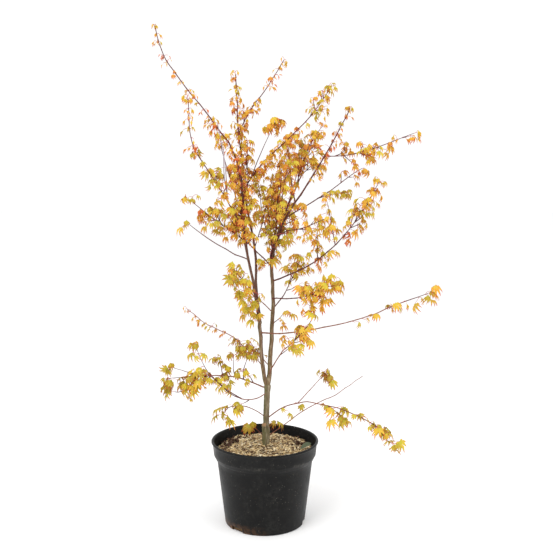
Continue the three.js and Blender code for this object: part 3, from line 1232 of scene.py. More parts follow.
@dataclass
class GraftUnion:
    """The healed stub where the rootstock's own top was cut away above the graft."""

    radius: float = 8.5 * MM
    rise: float = 69 * MM
    reach: float = 12 * MM
    way: tuple[float, float, float] = (-0.55, -0.75, 0.36)  # the way that the cut faces
    doming: float = 0.9 * MM
    rooted: float = 16 * MM  # how far down the trunk the stub's bark starts
    rings: int = 4

    def build(self, wood: Woodwork, trunk: Path, bark: bpy.types.Material) -> None:
        """Make the stub and its cut face.

        Args:
            wood: The woodwork that makes bark tubes.
            trunk: The trunk's path.
            bark: The trunk's bark.
        """
        foot = trunk.points[0]
        heart = min(trunk.points, key=lambda p: abs(p.z - foot.z - self.rise)).copy()
        way = Vector(self.way).normalized()
        face = heart + way * self.reach
        line = [heart - UP * self.rooted, heart - UP * 3 * MM + way * 4 * MM, face]
        path = Path("stub", *catmull(line, [1.5 * self.radius, 1.35 * self.radius, self.radius], 2 * MM))
        declare(wood.dress("graft_stub", [path], bark, STUB_SKIN), "trunk_bark")
        built = bmesh.new()
        side = way.orthogonal().normalized()
        up = way.cross(side)
        rows = [[built.verts.new(face + way * 1.0 * MM)]]
        for r in range(1, self.rings + 1):
            away = self.radius * 0.96 * r / self.rings
            lift = self.doming * (1 - (r / self.rings) ** 2) + 0.25 * MM
            centre = face + way * lift
            rows.append([built.verts.new(centre + side * x + up * y) for x, y, _ in ring(away, 0, STUB_SKIN.sides)])
        rows.append([built.verts.new(v.co - way * 1.5 * MM) for v in rows[-1]])
        bridge(built, rows)
        built.faces.new(rows[-1][::-1])
        declare(solid("graft_cut", built, CutWood().material(), smooth=True), "trunk_bark")


class Leafage:
    """Leaves of a few forms, hung on points and coloured by spray and by zone."""

    def __init__(self) -> None:
        """Build the leaf forms and the geometry tree once."""
        rng = random.Random(5)
        self.forms = bpy.data.collections.new("leaf_forms")
        for hold in Hold:
            self.forms.objects.link(plain_object(f"form_{hold.value}", FORMS[hold].mesh(rng), shown=False))
        self.tree, given = geometry_tree("leaf_sprays", {"Forms": "Collection"})
        tree = self.tree
        kinds = {"turn": "FLOAT_VECTOR", "hold": "INT", "size": "FLOAT", "tint": "INT", "zone": "INT"}
        spray = {
            name: add_node(tree, "GeometryNodeInputNamedAttribute", {"data_type": kind}, {"Name": name})
            for name, kind in kinds.items()
        }
        picked = {"Collection": given.outputs["Forms"], "Separate Children": True, "Reset Children": True}
        forms = add_node(tree, "GeometryNodeCollectionInfo", inputs=picked)
        turn = add_node(tree, "FunctionNodeEulerToRotation", inputs={0: spray["turn"]})
        chosen = {"Instance": forms, "Pick Instance": True, "Instance Index": spray["hold"]}
        laid = {"Points": given.outputs["Geometry"], "Rotation": turn, "Scale": spray["size"]}
        hung = add_node(tree, "GeometryNodeInstanceOnPoints", inputs=laid | chosen)
        whole = add_node(tree, "GeometryNodeRealizeInstances", inputs={"Geometry": hung})
        numbered = {0: spray["tint"], 1: float(len(Zone)), 2: spray["zone"]}
        shade = add_node(tree, "ShaderNodeMath", {"operation": "MULTIPLY_ADD"}, numbered)
        done = deal_out(tree, whole, shade, [material for tint in TINTS for material in tint.materials()])
        add_node(tree, "NodeGroupOutput", inputs={0: done})

    def hang(self, name: str, places: Sequence[tuple[Vector, Matrix, float, int, int]]) -> bpy.types.Object:
        """Make one piece of leaves.

        Args:
            name: The piece's name.
            places: Each leaf's place, turn, size, hold and tint.

        Returns:
            The finished piece.
        """
        mesh = bpy.data.meshes.new(name)
        mesh.from_pydata([tuple(p[0]) for p in places], [], [])
        turns = [x for p in places for x in p[1].to_euler()]
        mesh.attributes.new("turn", "FLOAT_VECTOR", "POINT").data.foreach_set("vector", turns)
        for part, (label, kind) in enumerate((("size", "FLOAT"), ("hold", "INT"), ("tint", "INT")), start=2):
            mesh.attributes.new(label, kind, "POINT").data.foreach_set("value", [p[part] for p in places])
        return settle(plain_object(name, mesh), self.tree, {"Forms": self.forms})


# ---- the tree ----

STEMS = ("stem_west", "stem_east")
LOW_BOUGHS = ("foot_", "bough_low", "bough_thin", "bough_long", "bough_front", "bough_rear_low")
LEADS = ("lead_west", "lead_inner", "lead_east", "lead_back", "lead_rear")
# share of a bough's radius that its bark takes, so the knobs at its nodes have room
BOUGH_SLIM = 0.8
LOW_SLIM = 0.66
LEADER_SLIM = 0.7
THIN_WOOD = 1.5 * MM  # wood below this radius keeps what it has


class Region(Enum):
    """Parts of the crown, by height, each with leaves and twigs of its own."""

    LOW = "low"
    MIDDLE = "middle"
    UPPER = "upper"
    TOP = "top"


WARM = (0, 0, 1, 5, 5, 3, 1)
RIPE = (0, 2, 4, 5, 2, 0, 0)
OLD = (1, 5, 5, 1, 0, 0, 0)
SHADED = (3, 4, 4, 1, 0, 0, 0)
HABITS = {
    Region.LOW: Habit(55 * MM, 30 * MM, OLD, (5, 6, 3, 0, 0), climb=0.02),
    Region.MIDDLE: Habit(49 * MM, 26 * MM, (0, 2, 5, 6, 2, 0, 0), (2, 6, 5, 2, 0), (4, 4, 1, 0), upright=1.1),
    Region.UPPER: Habit(
        42 * MM,
        25 * MM,
        (0, 1, 4, 6, 4, 1, 0),
        (1, 4, 6, 4, 1),
        (5, 4, 1, 0),
        longest=125 * MM,
        climb=0.06,
        upright=1.1,
    ),
    Region.TOP: Habit(
        36 * MM,
        22 * MM,
        (0, 0, 2, 6, 5, 2, 0),
        (0, 2, 4, 5, 4),
        (5, 4, 1, 0),
        longest=125 * MM,
        climb=0.06,
        upright=1.1,
    ),
}
# the share of a mass's buds that have grown, where it isn't its habit's
FULLNESS = {
    "foliage_back": 0.78,
    "foliage_core": 0.7,
    "foliage_crown_west": 0.9,
    "foliage_east": 0.66,
    "foliage_east_high": 0.22,
    "foliage_east_low": 0.78,
    "foliage_east_mid": 0.4,
    "foliage_east_rear": 0.5,
    "foliage_far_east": 0.55,
    "foliage_foot_mid": 0.32,
    "foliage_foot_tip": 0.55,
    "foliage_foot_west": 0.85,
    "foliage_front_east": 0.65,
    "foliage_front_west": 0.9,
    "foliage_inner_low": 1.0,
    "foliage_long_east": 0.5,
    "foliage_low_front": 0.12,
    "foliage_low_west": 0.35,
    "foliage_northeast": 0.9,
    "foliage_northwest": 0.65,
    "foliage_rear_west": 0.3,
    "foliage_spire": 0.72,
    "foliage_west": 0.2,
    "foliage_west_high": 0.7,
}
# the tints of a mass, where they aren't its habit's
FLUSHES = {
    "foliage_far_east": WARM,
    "foliage_front_west": SHADED,
    "foliage_inner_low": SHADED,
    "foliage_northeast": RIPE,
}
# which way a mass's leader heads, where it isn't straight away from its bough
HEADINGS = {
    "foliage_back": (0.4, 0.1, 1.0),
    "foliage_east": (0.6, 0.0, 1.0),
    "foliage_east_high": (1.0, 0.0, 0.5),
    "foliage_east_low": (0.7, 0.0, 1.0),
    "foliage_east_rear": (0.4, 0.2, 1.0),
    "foliage_far_east": (1.0, 0.0, 0.35),
    "foliage_foot_tip": (1.0, 0.0, -0.5),
    "foliage_foot_west": (-0.4, 0.0, -1.0),
    "foliage_front_east": (0.6, 0.0, 1.0),
    "foliage_long_east": (1.0, 0.0, 0.4),
    "foliage_low_front": (-1.0, 0.0, 0.6),
    "foliage_low_west": (-1.0, 0.0, 0.3),
    "foliage_northeast": (0.7, 0.0, 1.0),
    "foliage_northwest": (-0.6, 0.0, 1.0),
    "foliage_rear": (0.1, 0.1, 1.0),
    "foliage_rear_west": (-0.3, 0.1, 1.0),
    "foliage_west": (-1.0, 0.0, 0.8),
    "foliage_west_high": (-1.0, 0.0, 0.8),
}


@dataclass(frozen=True)
class OpenStretch:
    """A stretch of limb outside every mass that bears its leaves straight on the wood."""

    limb: str
    low: float
    high: float
    habit: Habit


SLIVERS = (0, 0, 2, 5, 6)
MOPS = (2, 6, 4, 0, 0)
OPEN_STRETCHES = (
    OpenStretch("whip_west", 0.02, 0.4, Habit(34 * MM, 12 * MM, WARM, SLIVERS, (1, 3, 2, 0), 0.9)),
    OpenStretch("whip_west", 0.4, 1.0, Habit(26 * MM, 28 * MM, WARM, SLIVERS, (3, 3, 1, 0), 0.75)),
    OpenStretch("spire_east", 0.0, 0.3, Habit(34 * MM, 20 * MM, WARM, SLIVERS, (1, 3, 2, 0), 0.9)),
    OpenStretch("spire_east", 0.3, 1.0, Habit(32 * MM, 24 * MM, WARM, SLIVERS, (1, 3, 2, 0), 0.8)),
    OpenStretch("spire_northwest", 0.05, 1.0, Habit(32 * MM, 24 * MM, WARM, SLIVERS, (1, 3, 2, 0), 0.9)),
    OpenStretch("lead_east", 0.55, 0.85, Habit(34 * MM, 19 * MM, WARM, (0, 2, 4, 5, 4), (3, 3, 1, 0), 0.8)),
    OpenStretch("lead_east", 0.85, 1.0, Habit(28 * MM, 20 * MM, WARM, SLIVERS, (3, 2, 0, 0), 0.85)),
    OpenStretch("lead_inner", 0.4, 0.74, Habit(36 * MM, 19 * MM, WARM, (1, 3, 5, 5, 2), (2, 3, 1, 0), 0.85)),
    OpenStretch("lead_inner", 0.74, 0.95, Habit(34 * MM, 26 * MM, WARM, SLIVERS, (1, 3, 2, 0), 0.9)),
    OpenStretch("lead_west", 0.75, 1.0, Habit(36 * MM, 18 * MM, WARM, (1, 3, 5, 5, 2), (2, 3, 1, 0), 0.85)),
    OpenStretch("bough_northeast", 0.25, 1.0, Habit(36 * MM, 19 * MM, WARM, (0, 3, 5, 4, 1), share=0.8)),
    OpenStretch("bough_thin_west", 0.35, 1.0, Habit(27 * MM, 24 * MM, WARM, SLIVERS, (3, 3, 1, 0), 0.8)),
    OpenStretch("bough_thin_west", 0.2, 0.35, Habit(48 * MM, 14 * MM, OLD, MOPS, (1, 3, 2, 0))),
    OpenStretch("bough_long_east", 0.72, 1.0, Habit(38 * MM, 40 * MM, RIPE, MOPS, share=0.6)),
    OpenStretch("foot_twig", 0.93, 1.0, Habit(46 * MM, 9 * MM, OLD, (0, 3, 6, 2, 0), (0, 3, 3, 1), 0.9)),
    OpenStretch("foot_east", 0.3, 0.8, Habit(38 * MM, 60 * MM, OLD, MOPS, share=0.5)),
    OpenStretch("foot_east", 0.85, 1.0, Habit(40 * MM, 26 * MM, OLD, MOPS, share=0.8)),
    OpenStretch("bough_east", 0.5, 1.0, Habit(46 * MM, 30 * MM, (0, 0, 1, 4, 6, 4, 0), MOPS, share=0.75)),
    OpenStretch("bough_low_west", 0.3, 1.0, Habit(46 * MM, 32 * MM, OLD, MOPS, share=0.55)),
)


@dataclass(frozen=True)
class SparShoot:
    """A long shoot of its own, which climbs from a limb to a mop of leaves."""

    limb: str
    share: float
    bearing: float
    slope: float
    length: float
    habit: Habit


MOP = (0, 2, 4, 4)
SPAR_HABIT = Habit(40 * MM, 30 * MM, WARM, (1, 4, 5, 3, 0), MOP, 0.5, climb=0.0, wander=0.025)
LEAFY_SPAR = replace(SPAR_HABIT, node=26 * MM, share=0.8, crowd=(3, 3, 1, 0))
VASE_SPAR = replace(
    SPAR_HABIT, leaf=38 * MM, node=27 * MM, share=0.55, crowd=(4, 3, 1, 0), tints=(0, 1, 3, 6, 4, 1, 0), wander=0.035
)
# bare up to one pair of buds close below its tip
CROWN_MOP = replace(
    SPAR_HABIT, leaf=50 * MM, node=215 * MM, crowd=(0, 0, 1, 2, 1), share=1.0, wander=0.01, tints=(0, 0, 1, 6, 3, 0, 0)
)
LONE_MOP = Habit(50 * MM, 30 * MM, RIPE, MOPS, MOP, 0.4, climb=0.0)
OLD_SPAR = Habit(52 * MM, 40 * MM, OLD, MOPS, (1, 3, 2, 0), 0.5, climb=0.045, wander=0.03)
LAYERED_SPAR = replace(OLD_SPAR, share=0.6, climb=0.0, crowd=(1, 3, 3, 1))
POT_SPRIG = Habit(62 * MM, 60 * MM, (6, 2, 0, 0, 0, 0, 0), (2, 5, 4, 0, 0), (0, 0, 3, 2), 0.0, climb=0.0)
SPAR_SHOOTS = (
    SparShoot("bough_northeast", 0.16, 10.0, 72.0, 185 * MM, CROWN_MOP),
    SparShoot("lead_inner", 0.5, 30.0, 80.0, 170 * MM, LEAFY_SPAR),
    SparShoot("lead_inner", 0.56, 320.0, 74.0, 130 * MM, LEAFY_SPAR),
    SparShoot("lead_west", 0.7, 160.0, 84.0, 170 * MM, LEAFY_SPAR),
    SparShoot("lead_east", 0.12, 70.0, 80.0, 270 * MM, VASE_SPAR),
    SparShoot("lead_east", 0.2, 300.0, 76.0, 220 * MM, VASE_SPAR),
    SparShoot("lead_rear", 0.5, 170.0, 82.0, 250 * MM, VASE_SPAR),
    SparShoot("lead_rear", 0.3, 255.0, 84.0, 220 * MM, VASE_SPAR),
    SparShoot("lead_back", 0.35, 330.0, 74.0, 200 * MM, VASE_SPAR),
    SparShoot("bough_east", 0.8, 175.0, 80.0, 135 * MM, replace(VASE_SPAR, leaf=44 * MM, share=0.9, tints=RIPE)),
    SparShoot("bough_east", 0.55, 100.0, 72.0, 120 * MM, replace(VASE_SPAR, leaf=44 * MM, share=0.9, tints=RIPE)),
    SparShoot("bough_east_high", 0.9, 20.0, 15.0, 90 * MM, replace(VASE_SPAR, leaf=40 * MM, share=0.6)),
    SparShoot("lead_inner", 0.3, 15.0, 74.0, 230 * MM, VASE_SPAR),
    SparShoot("lead_west", 0.45, 190.0, 77.0, 200 * MM, VASE_SPAR),
    SparShoot("lead_back", 0.9, 20.0, 71.0, 222 * MM, replace(SPAR_HABIT, leaf=32 * MM, share=0.7, crowd=(2, 3, 1, 0))),
    SparShoot("lead_rear", 0.95, 10.0, 83.0, 295 * MM, replace(SPAR_HABIT, share=0.75, crowd=(2, 3, 1, 0))),
    SparShoot("lead_east", 0.4, 150.0, 78.0, 200 * MM, replace(SPAR_HABIT, share=0.75, crowd=(2, 3, 1, 0))),
    SparShoot("lead_west", 0.03, 215.0, 62.0, 66 * MM, replace(LONE_MOP, share=0.9)),
    SparShoot("stem_east", 0.5, 345.0, 30.0, 52 * MM, replace(LONE_MOP, leaf=44 * MM)),
    SparShoot("bough_front_east", 0.55, 340.0, 30.0, 40 * MM, LONE_MOP),
    SparShoot("bough_low_west", 0.22, 200.0, 62.0, 44 * MM, replace(LONE_MOP, tints=OLD)),
    SparShoot("bough_low_west", 0.4, 120.0, 80.0, 76 * MM, replace(LONE_MOP, leaf=44 * MM, tints=OLD)),
    SparShoot("bough_low_west", 0.55, 230.0, 80.0, 62 * MM, replace(LONE_MOP, leaf=44 * MM, tints=OLD)),
    SparShoot("bough_low_west", 0.76, 170.0, 76.0, 48 * MM, replace(LONE_MOP, leaf=40 * MM, tints=OLD)),
    SparShoot("bough_low_west", 1.0, 184.0, -1.0, 122 * MM, LAYERED_SPAR),
    SparShoot("bough_low_west", 0.98, 176.0, 8.0, 118 * MM, replace(LONE_MOP, leaf=58 * MM, share=0.25, tints=OLD)),
    SparShoot("bough_low_west", 0.95, 190.0, -42.0, 90 * MM, replace(OLD_SPAR, leaf=30 * MM, share=0.3, climb=-0.03)),
    SparShoot("bough_low_front", 0.7, 235.0, -5.0, 30 * MM, replace(LONE_MOP, tints=OLD)),
    SparShoot("bough_low_front", 0.97, 178.0, 22.0, 215 * MM, OLD_SPAR),
    SparShoot("foot_east", 0.6, 330.0, -25.0, 55 * MM, replace(LONE_MOP, tints=OLD, leaf=56 * MM)),
    SparShoot("foot_east", 0.18, 300.0, 10.0, 16 * MM, replace(LONE_MOP, leaf=46 * MM, tints=OLD, crowd=(1, 0, 0, 0))),
    SparShoot("trunk", 0.16, 150.0, 38.0, 46 * MM, POT_SPRIG),
    SparShoot("trunk", 0.16, 50.0, 42.0, 46 * MM, replace(POT_SPRIG, leaf=52 * MM)),
)


@dataclass(frozen=True)
class DeadTwig:
    """A bare grey twig that died last winter."""

    limb: str
    share: float
    reach: tuple[float, float, float]
    bow: float


DEAD_TWIGS = (
    DeadTwig("bough_northwest", 1.0, (-28 * MM, 10 * MM, 225 * MM), 6 * MM),
    DeadTwig("bough_northwest", 0.97, (-14 * MM, 12 * MM, 160 * MM), -5 * MM),
)


@dataclass(frozen=True)
class TrunkBark:
    """How the trunk's bark thins above the graft, knuckles below the fork and closes inside it."""

    graft: float = 61 * MM  # height of the graft above the foot
    stock: float = 12.2 * MM
    scion: float = 9.5 * MM
    knuckle: float = 1.4 * MM
    lichen: float = 66 * MM  # height that the lichen climbs to

    def headed(self, trunk: Path) -> Path:
        """Round off the trunk's head inside the fork, and slim the scion above the graft.

        Args:
            trunk: The trunk as it was read.

        Returns:
            The trunk with a rounded head.
        """
        points, _ = catmull(trunk.points, trunk.radii, Path.FINE)
        head, along = points[-1], (points[-1] - points[-4]).normalized()
        graft = points[0].z + self.graft
        radii = []
        for point in points:
            share = min(max((point.z - graft + 8 * MM) / (14 * MM), 0.0), 1.0)
            knuckle = self.knuckle * math.exp(-(((head.z - 4 * MM - point.z) / (9 * MM)) ** 2))
            radii.append(self.stock + (self.scion - self.stock) * share + knuckle)
        neck = radii[-1]
        for rise, share in ((3 * MM, 0.9), (6 * MM, 0.66), (8 * MM, 0.3)):
            points.append(head + along * rise)
            radii.append(neck * share)
        return Path(trunk.name, points, radii)


@dataclass
class Maple:
    """The whole tree above the mulch."""

    nodes_apart: float = 34 * MM
    stem_flare: float = 0.05
    bough_flare: float = 0.4
    touch: float = 1.2 * MM  # wood this near to a mass's skin is inside its hole
    region_tops: tuple[float, ...] = (0.26, 0.55, 0.75)  # share of the height that each region but the last ends at
    trunk_bark: TrunkBark = TrunkBark()
    wood_seed: int = 31
    crown_seed: int = 100

    def __post_init__(self) -> None:
        """Read the limbs and masses."""
        names = sorted(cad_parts)
        masses = [n for n in names if n.startswith("foliage_")]
        self.limb_names: list[str] = [n for n in names if n not in ("pot", "mulch") and n not in masses]
        self.skeleton = Skeleton(self.limb_names)
        self.masses: list[Mass] = [Mass(n) for n in masses]
        self.wood = Woodwork()
        self.leafage = Leafage()
        self.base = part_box("trunk")[0].z
        self.top = CAD_BOX[1].z

    def region(self, height: float) -> Region:
        """Say which part of the crown a height is in."""
        share = (height - self.base) / (self.top - self.base)
        return list(Region)[sum(share > limit for limit in self.region_tops)]

    def build_wood(self) -> None:
        """Dress the trunk, stems and boughs in bark."""
        rng = random.Random(self.wood_seed)
        paths = {}
        for name, path in self.skeleton.paths.items():
            flare = self.stem_flare if name in STEMS else self.bough_flare
            grown = self.trunk_bark.headed(path) if name == "trunk" else path.jointed(rng, self.nodes_apart, flare)
            paths[name] = grown
        # old bark of the rootstock: dull grey brown, coarsely streaked, with grey-green lichen low down
        stock = Bark(
            "maple_stock_bark",
            thick="#766850",
            pale="#a89e88",
            algae="#56572a",
            streak_mm=5.0,
            depth=0.5,
            lichen=0.5,
            lichen_top=self.base + self.trunk_bark.lichen,
        )
        # young stems: olive brown with fine pale streaks
        brown = Bark("maple_stem_bark", thick="#7a6448", streak_mm=4.0, depth=0.4, algae_share=0.5)
        # boughs: maroon and satin, browner where they are thick
        maroon = Bark("maple_bough_bark", streak_mm=2.0, algae_share=0.2)
        stock_bark = stock.material()
        trunk = self.wood.dress("trunk_bark", [paths["trunk"]], stock_bark, TRUNK_SKIN)
        GraftUnion().build(self.wood, self.skeleton.paths["trunk"], stock_bark)
        declare(trunk, "trunk_bark", "trunk")
        stems = self.wood.dress("stem_bark", [paths[n] for n in STEMS], brown.material(), STEM_SKIN)
        declare(stems, "stem_bark", *STEMS)
        maroon_bark = maroon.material()
        leads = self.wood.dress("lead_bark", [paths[n] for n in LEADS], maroon_bark, LEAD_SKIN)
        declare(leads, "bough_bark", *LEADS)
        rest = [n for n in self.limb_names if n != "trunk" and n not in STEMS + LEADS]
        low = [n for n in rest if n.startswith(LOW_BOUGHS)]
        high = [n for n in rest if n not in low]
        # low boughs: a paler, pinkish brown
        pink = Bark("maple_low_bough_bark", thin="#84503f", middling="#7a5644", streak_mm=2.0, algae_share=0.25)
        for name, names, bark in (("bough_bark", high, maroon_bark), ("low_bough_bark", low, pink.material())):
            slim = LOW_SLIM if names is low else BOUGH_SLIM
            for path in (paths[n] for n in names):
                path.radii = [max(radius * slim, min(radius, THIN_WOOD)) for radius in path.radii]
            boughs = self.wood.dress(name, [paths[n] for n in names], bark, BOUGH_SKIN)
            declare(boughs, "bough_bark", *names)

    def build_crown(self) -> None:
        """Grow every mass, then the leaves on open wood, and join them by region."""
        growers = {region: Grower(self.crown_seed + i) for i, region in enumerate(Region)}
        replaced: dict[Region, list[str]] = {region: [] for region in Region}
        for mass in self.masses:
            region = self.region(mass.centre.z)
            replaced[region].append(mass.name)
            habit = HABITS[region]
            share, tints = FULLNESS.get(mass.name, habit.share), FLUSHES.get(mass.name, habit.tints)
            growers[region].rng.seed(mass.name)
            self.fill(mass, growers[region], replace(habit, share=share, tints=tints))
        for stretch in OPEN_STRETCHES:
            path = self.skeleton.paths[stretch.limb]
            last = len(path.points) - 1
            grower = growers[self.region(path.points[last // 2].z)]
            grower.rng.seed(f"{stretch.limb} {stretch.low}")
            grower.clothe(path, int(stretch.low * last), int(stretch.high * last), stretch.habit, None)
        for spar in SPAR_SHOOTS:
            path = self.skeleton.paths[spar.limb]
            start = path.points[int(spar.share * (len(path.points) - 1))]
            way = Matrix.Rotation(math.radians(spar.bearing), 3, "Z") @ Vector(
                (math.cos(math.radians(spar.slope)), 0, math.sin(math.radians(spar.slope)))
            )
            grower = growers[self.region(start.z)]
            grower.rng.seed(f"{spar.limb} {spar.share} {spar.bearing}")
            grower.shoot(start, way, spar.length, spar.habit, grower.pick(spar.habit.tints), 0)
        self.build_dead_twigs()
        # this year's shoots are satin maroon, and the stalks a clear coral red
        shoot = PlainFinish("young_shoot_bark", "#5c241f", 0.6).material()
        stalk = PlainFinish("leaf_stalk", "#b4463a", 0.5).material()
        for region, grower in growers.items():
            grown = grower.growth
            leaves = self.leafage.hang(f"leaves_{region.value}", grown.places)
            declare(leaves, "spring_leaf", *replaced[region])
            twigs = self.wood.dress(f"twigs_{region.value}", grown.twigs, shoot, TWIG_SKIN)
            declare(twigs, "bough_bark")
            stalks = self.wood.dress(f"stalks_{region.value}", grown.stalks, stalk, STALK_SKIN)
            declare(stalks, "bough_bark")
            log.info("%s: %d leaves", region.value, len(grown.places))

    def build_dead_twigs(self) -> None:
        """Set the bare grey twigs on their boughs."""
        twigs = []
        for dead in DEAD_TWIGS:
            bough = self.skeleton.paths[dead.limb]
            foot = bough.points[int(dead.share * (len(bough.points) - 1))]
            way = Vector(dead.reach)
            middle = foot + way * 0.5 + Vector((dead.bow, 0, 0))
            twigs.append(Path("dead", *catmull([foot, middle, foot + way], [1.7 * MM, 1.4 * MM, 0.9 * MM], 5 * MM)))
        # dead wood: dry, pale mauve grey, with no green on it
        bark = Bark("dead_twig_bark", "#a3949a", "#a3949a", "#a3949a", "#b9adb0", algae_share=0.0).material()
        declare(self.wood.dress("dead_twigs", twigs, bark, TWIG_SKIN), "bough_bark")

    def fill(self, mass: Mass, grower: Grower, habit: Habit) -> None:
        """Grow a mass's leaders and the wood that runs through it.

        Args:
            mass: The mass.
            grower: The grower of its region.
            habit: The habit of its region.
        """
        for path in self.skeleton.paths.values():
            wood = enumerate(zip(path.points, path.radii))
            inside = [i for i, (point, radius) in wood if mass.away(point) < radius + self.touch]
            last = len(path.points) - 1
            if inside and inside[-1] >= last - 1 and len(inside) < 6:
                straight = mass.centre - path.points[-1]
                aim = Vector(HEADINGS.get(mass.name, straight)).normalized()
                carried = [p for p in self.skeleton.loose if mass.away(p.points[0]) < p.radii[0] + self.touch]
                leader = mass.leader(path, aim, 0.7 * habit.leaf, carried[0] if carried else None)
                slimmed = [max(LEADER_SLIM * radius, min(radius, THIN_WOOD)) for radius in leader.radii]
                grower.growth.twigs.append(replace(leader, radii=slimmed))
                grower.clothe(leader, 2, len(leader.points) - 1, habit, mass)
            elif len(inside) >= 6:
                grower.clothe(path, inside[0], inside[-1], habit, mass)


# ---- pot and mulch ----


@dataclass
class NurseryPot:
    """A round moulded pot with a rolled lip, a deep rim band and a shoulder below it."""

    wall: float = 3 * MM
    lip: float = 4 * MM
    band: float = 45 * MM  # height of the rim band
    ledge: float = 15 * MM  # height of the shoulder below it
    foot: float = 5 * MM  # radius of the bottom edge
    segments: int = 128
    slot_turn: float = 228.0
    slots: int = 3
    slot: tuple[float, float, float] = (18 * MM, 42 * MM, 22 * MM)

    def reach(self, height: float) -> float:
        """Read the pot's outer radius at a height.

        Args:
            height: The height.

        Returns:
            The largest radius of the corners nearest to it.
        """
        corners = [v.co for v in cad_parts["pot"].data.vertices]
        nearest = min(abs(c.z - height) for c in corners)
        return max(math.hypot(c.x, c.y) for c in corners if abs(c.z - height) < nearest + 1 * MM)

    def profile(self) -> list[tuple[float, float]]:
        """Draw the wall's closed outline.

        Returns:
            Each corner's radius and height, from the axis and back to it, outside first.
        """
        low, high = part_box("pot")
        top, rim = high.z, (high.x - low.x) / 2
        under = top - self.band
        step = under - self.ledge
        base, shoulder, band = self.reach(4 * MM), self.reach(step), self.reach(under)
        outside = [(0.0, 0.0), (base - 9 * MM, 0.0)]
        for k in range(1, 5):
            turn = math.radians(90 * k / 4)
            outside.append((base - self.foot * (1 - math.sin(turn)), self.foot * (1 - math.cos(turn))))
        for k in range(1, 12):
            t = k / 12
            outside.append((base + (shoulder - base) * t, self.foot + (step - self.foot) * t))
        outside += [
            (shoulder, step - 1 * MM),
            (shoulder + 1 * MM, step),
            (shoulder + 4 * MM, step + 3 * MM),
            (band - 2.5 * MM, under - 4 * MM),
            (band - 0.6 * MM, under - 1 * MM),
            (band, under),
            (band + 0.4 * MM, under + 1.5 * MM),
        ]
        lip_foot = top - 2 * self.lip
        outside += [
            (band + (rim - self.lip - band) * 0.5, (under + lip_foot) / 2),
            (rim - self.lip, lip_foot - 1 * MM),
        ]
        for k in range(9):
            turn = math.radians(-80 + 250 * k / 8)
            outside.append((rim - self.lip + self.lip * math.cos(turn), top - self.lip + self.lip * math.sin(turn)))
        inside = [
            (rim - 2 * self.lip - 1 * MM, top - 6 * MM),
            (band - self.wall, under + 2 * MM),
            (shoulder - self.wall, step - 1 * MM),
            (base - self.wall, 6 * MM),
            (base - 2 * self.wall, 4 * MM),
            (0.0, 4 * MM),
        ]
        return outside + inside

    def build(self) -> bpy.types.Object:
        """Spin the wall, cut its drainage slots and dress it.

        Returns:
            The pot.
        """
        built = bmesh.new()
        outline = self.profile()
        bridge(built, [[built.verts.new(p) for p in ring(*at, self.segments)] for at in outline])
        pot = solid("nursery_pot", built, smooth=True)
        cutter = self.slot_cutter()
        cut = pot.modifiers.new("slots", "BOOLEAN")
        cut.object, cut.operation, cut.solver = cutter, "DIFFERENCE", "EXACT"
        graph = bpy.context.evaluated_depsgraph_get()
        pot.data = bpy.data.meshes.new_from_object(pot.evaluated_get(graph))
        pot.modifiers.clear()
        bpy.data.objects.remove(cutter)
        pot.data.materials.clear()
        pot.data.materials.append(PotPlastic(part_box("pot")[1].z - self.band).material())
        return declare(pot, "pot_plastic", "pot")

    def slot_cutter(self) -> bpy.types.Object:
        """Make the blocks that cut the drainage slots through the bottom edge.

        Returns:
            The blocks, as one object.
        """
        built = bmesh.new()
        for k in range(self.slots):
            turn = math.radians(self.slot_turn + 360 * k / self.slots)
            place = Matrix.Rotation(turn, 4, "Z") @ Matrix.Translation((self.reach(4 * MM), 0, 3 * MM))
            size = Matrix.Diagonal((*self.slot, 1))
            bmesh.ops.create_cube(built, size=1.0, matrix=place @ size)
        return solid("slot_cutter", built)


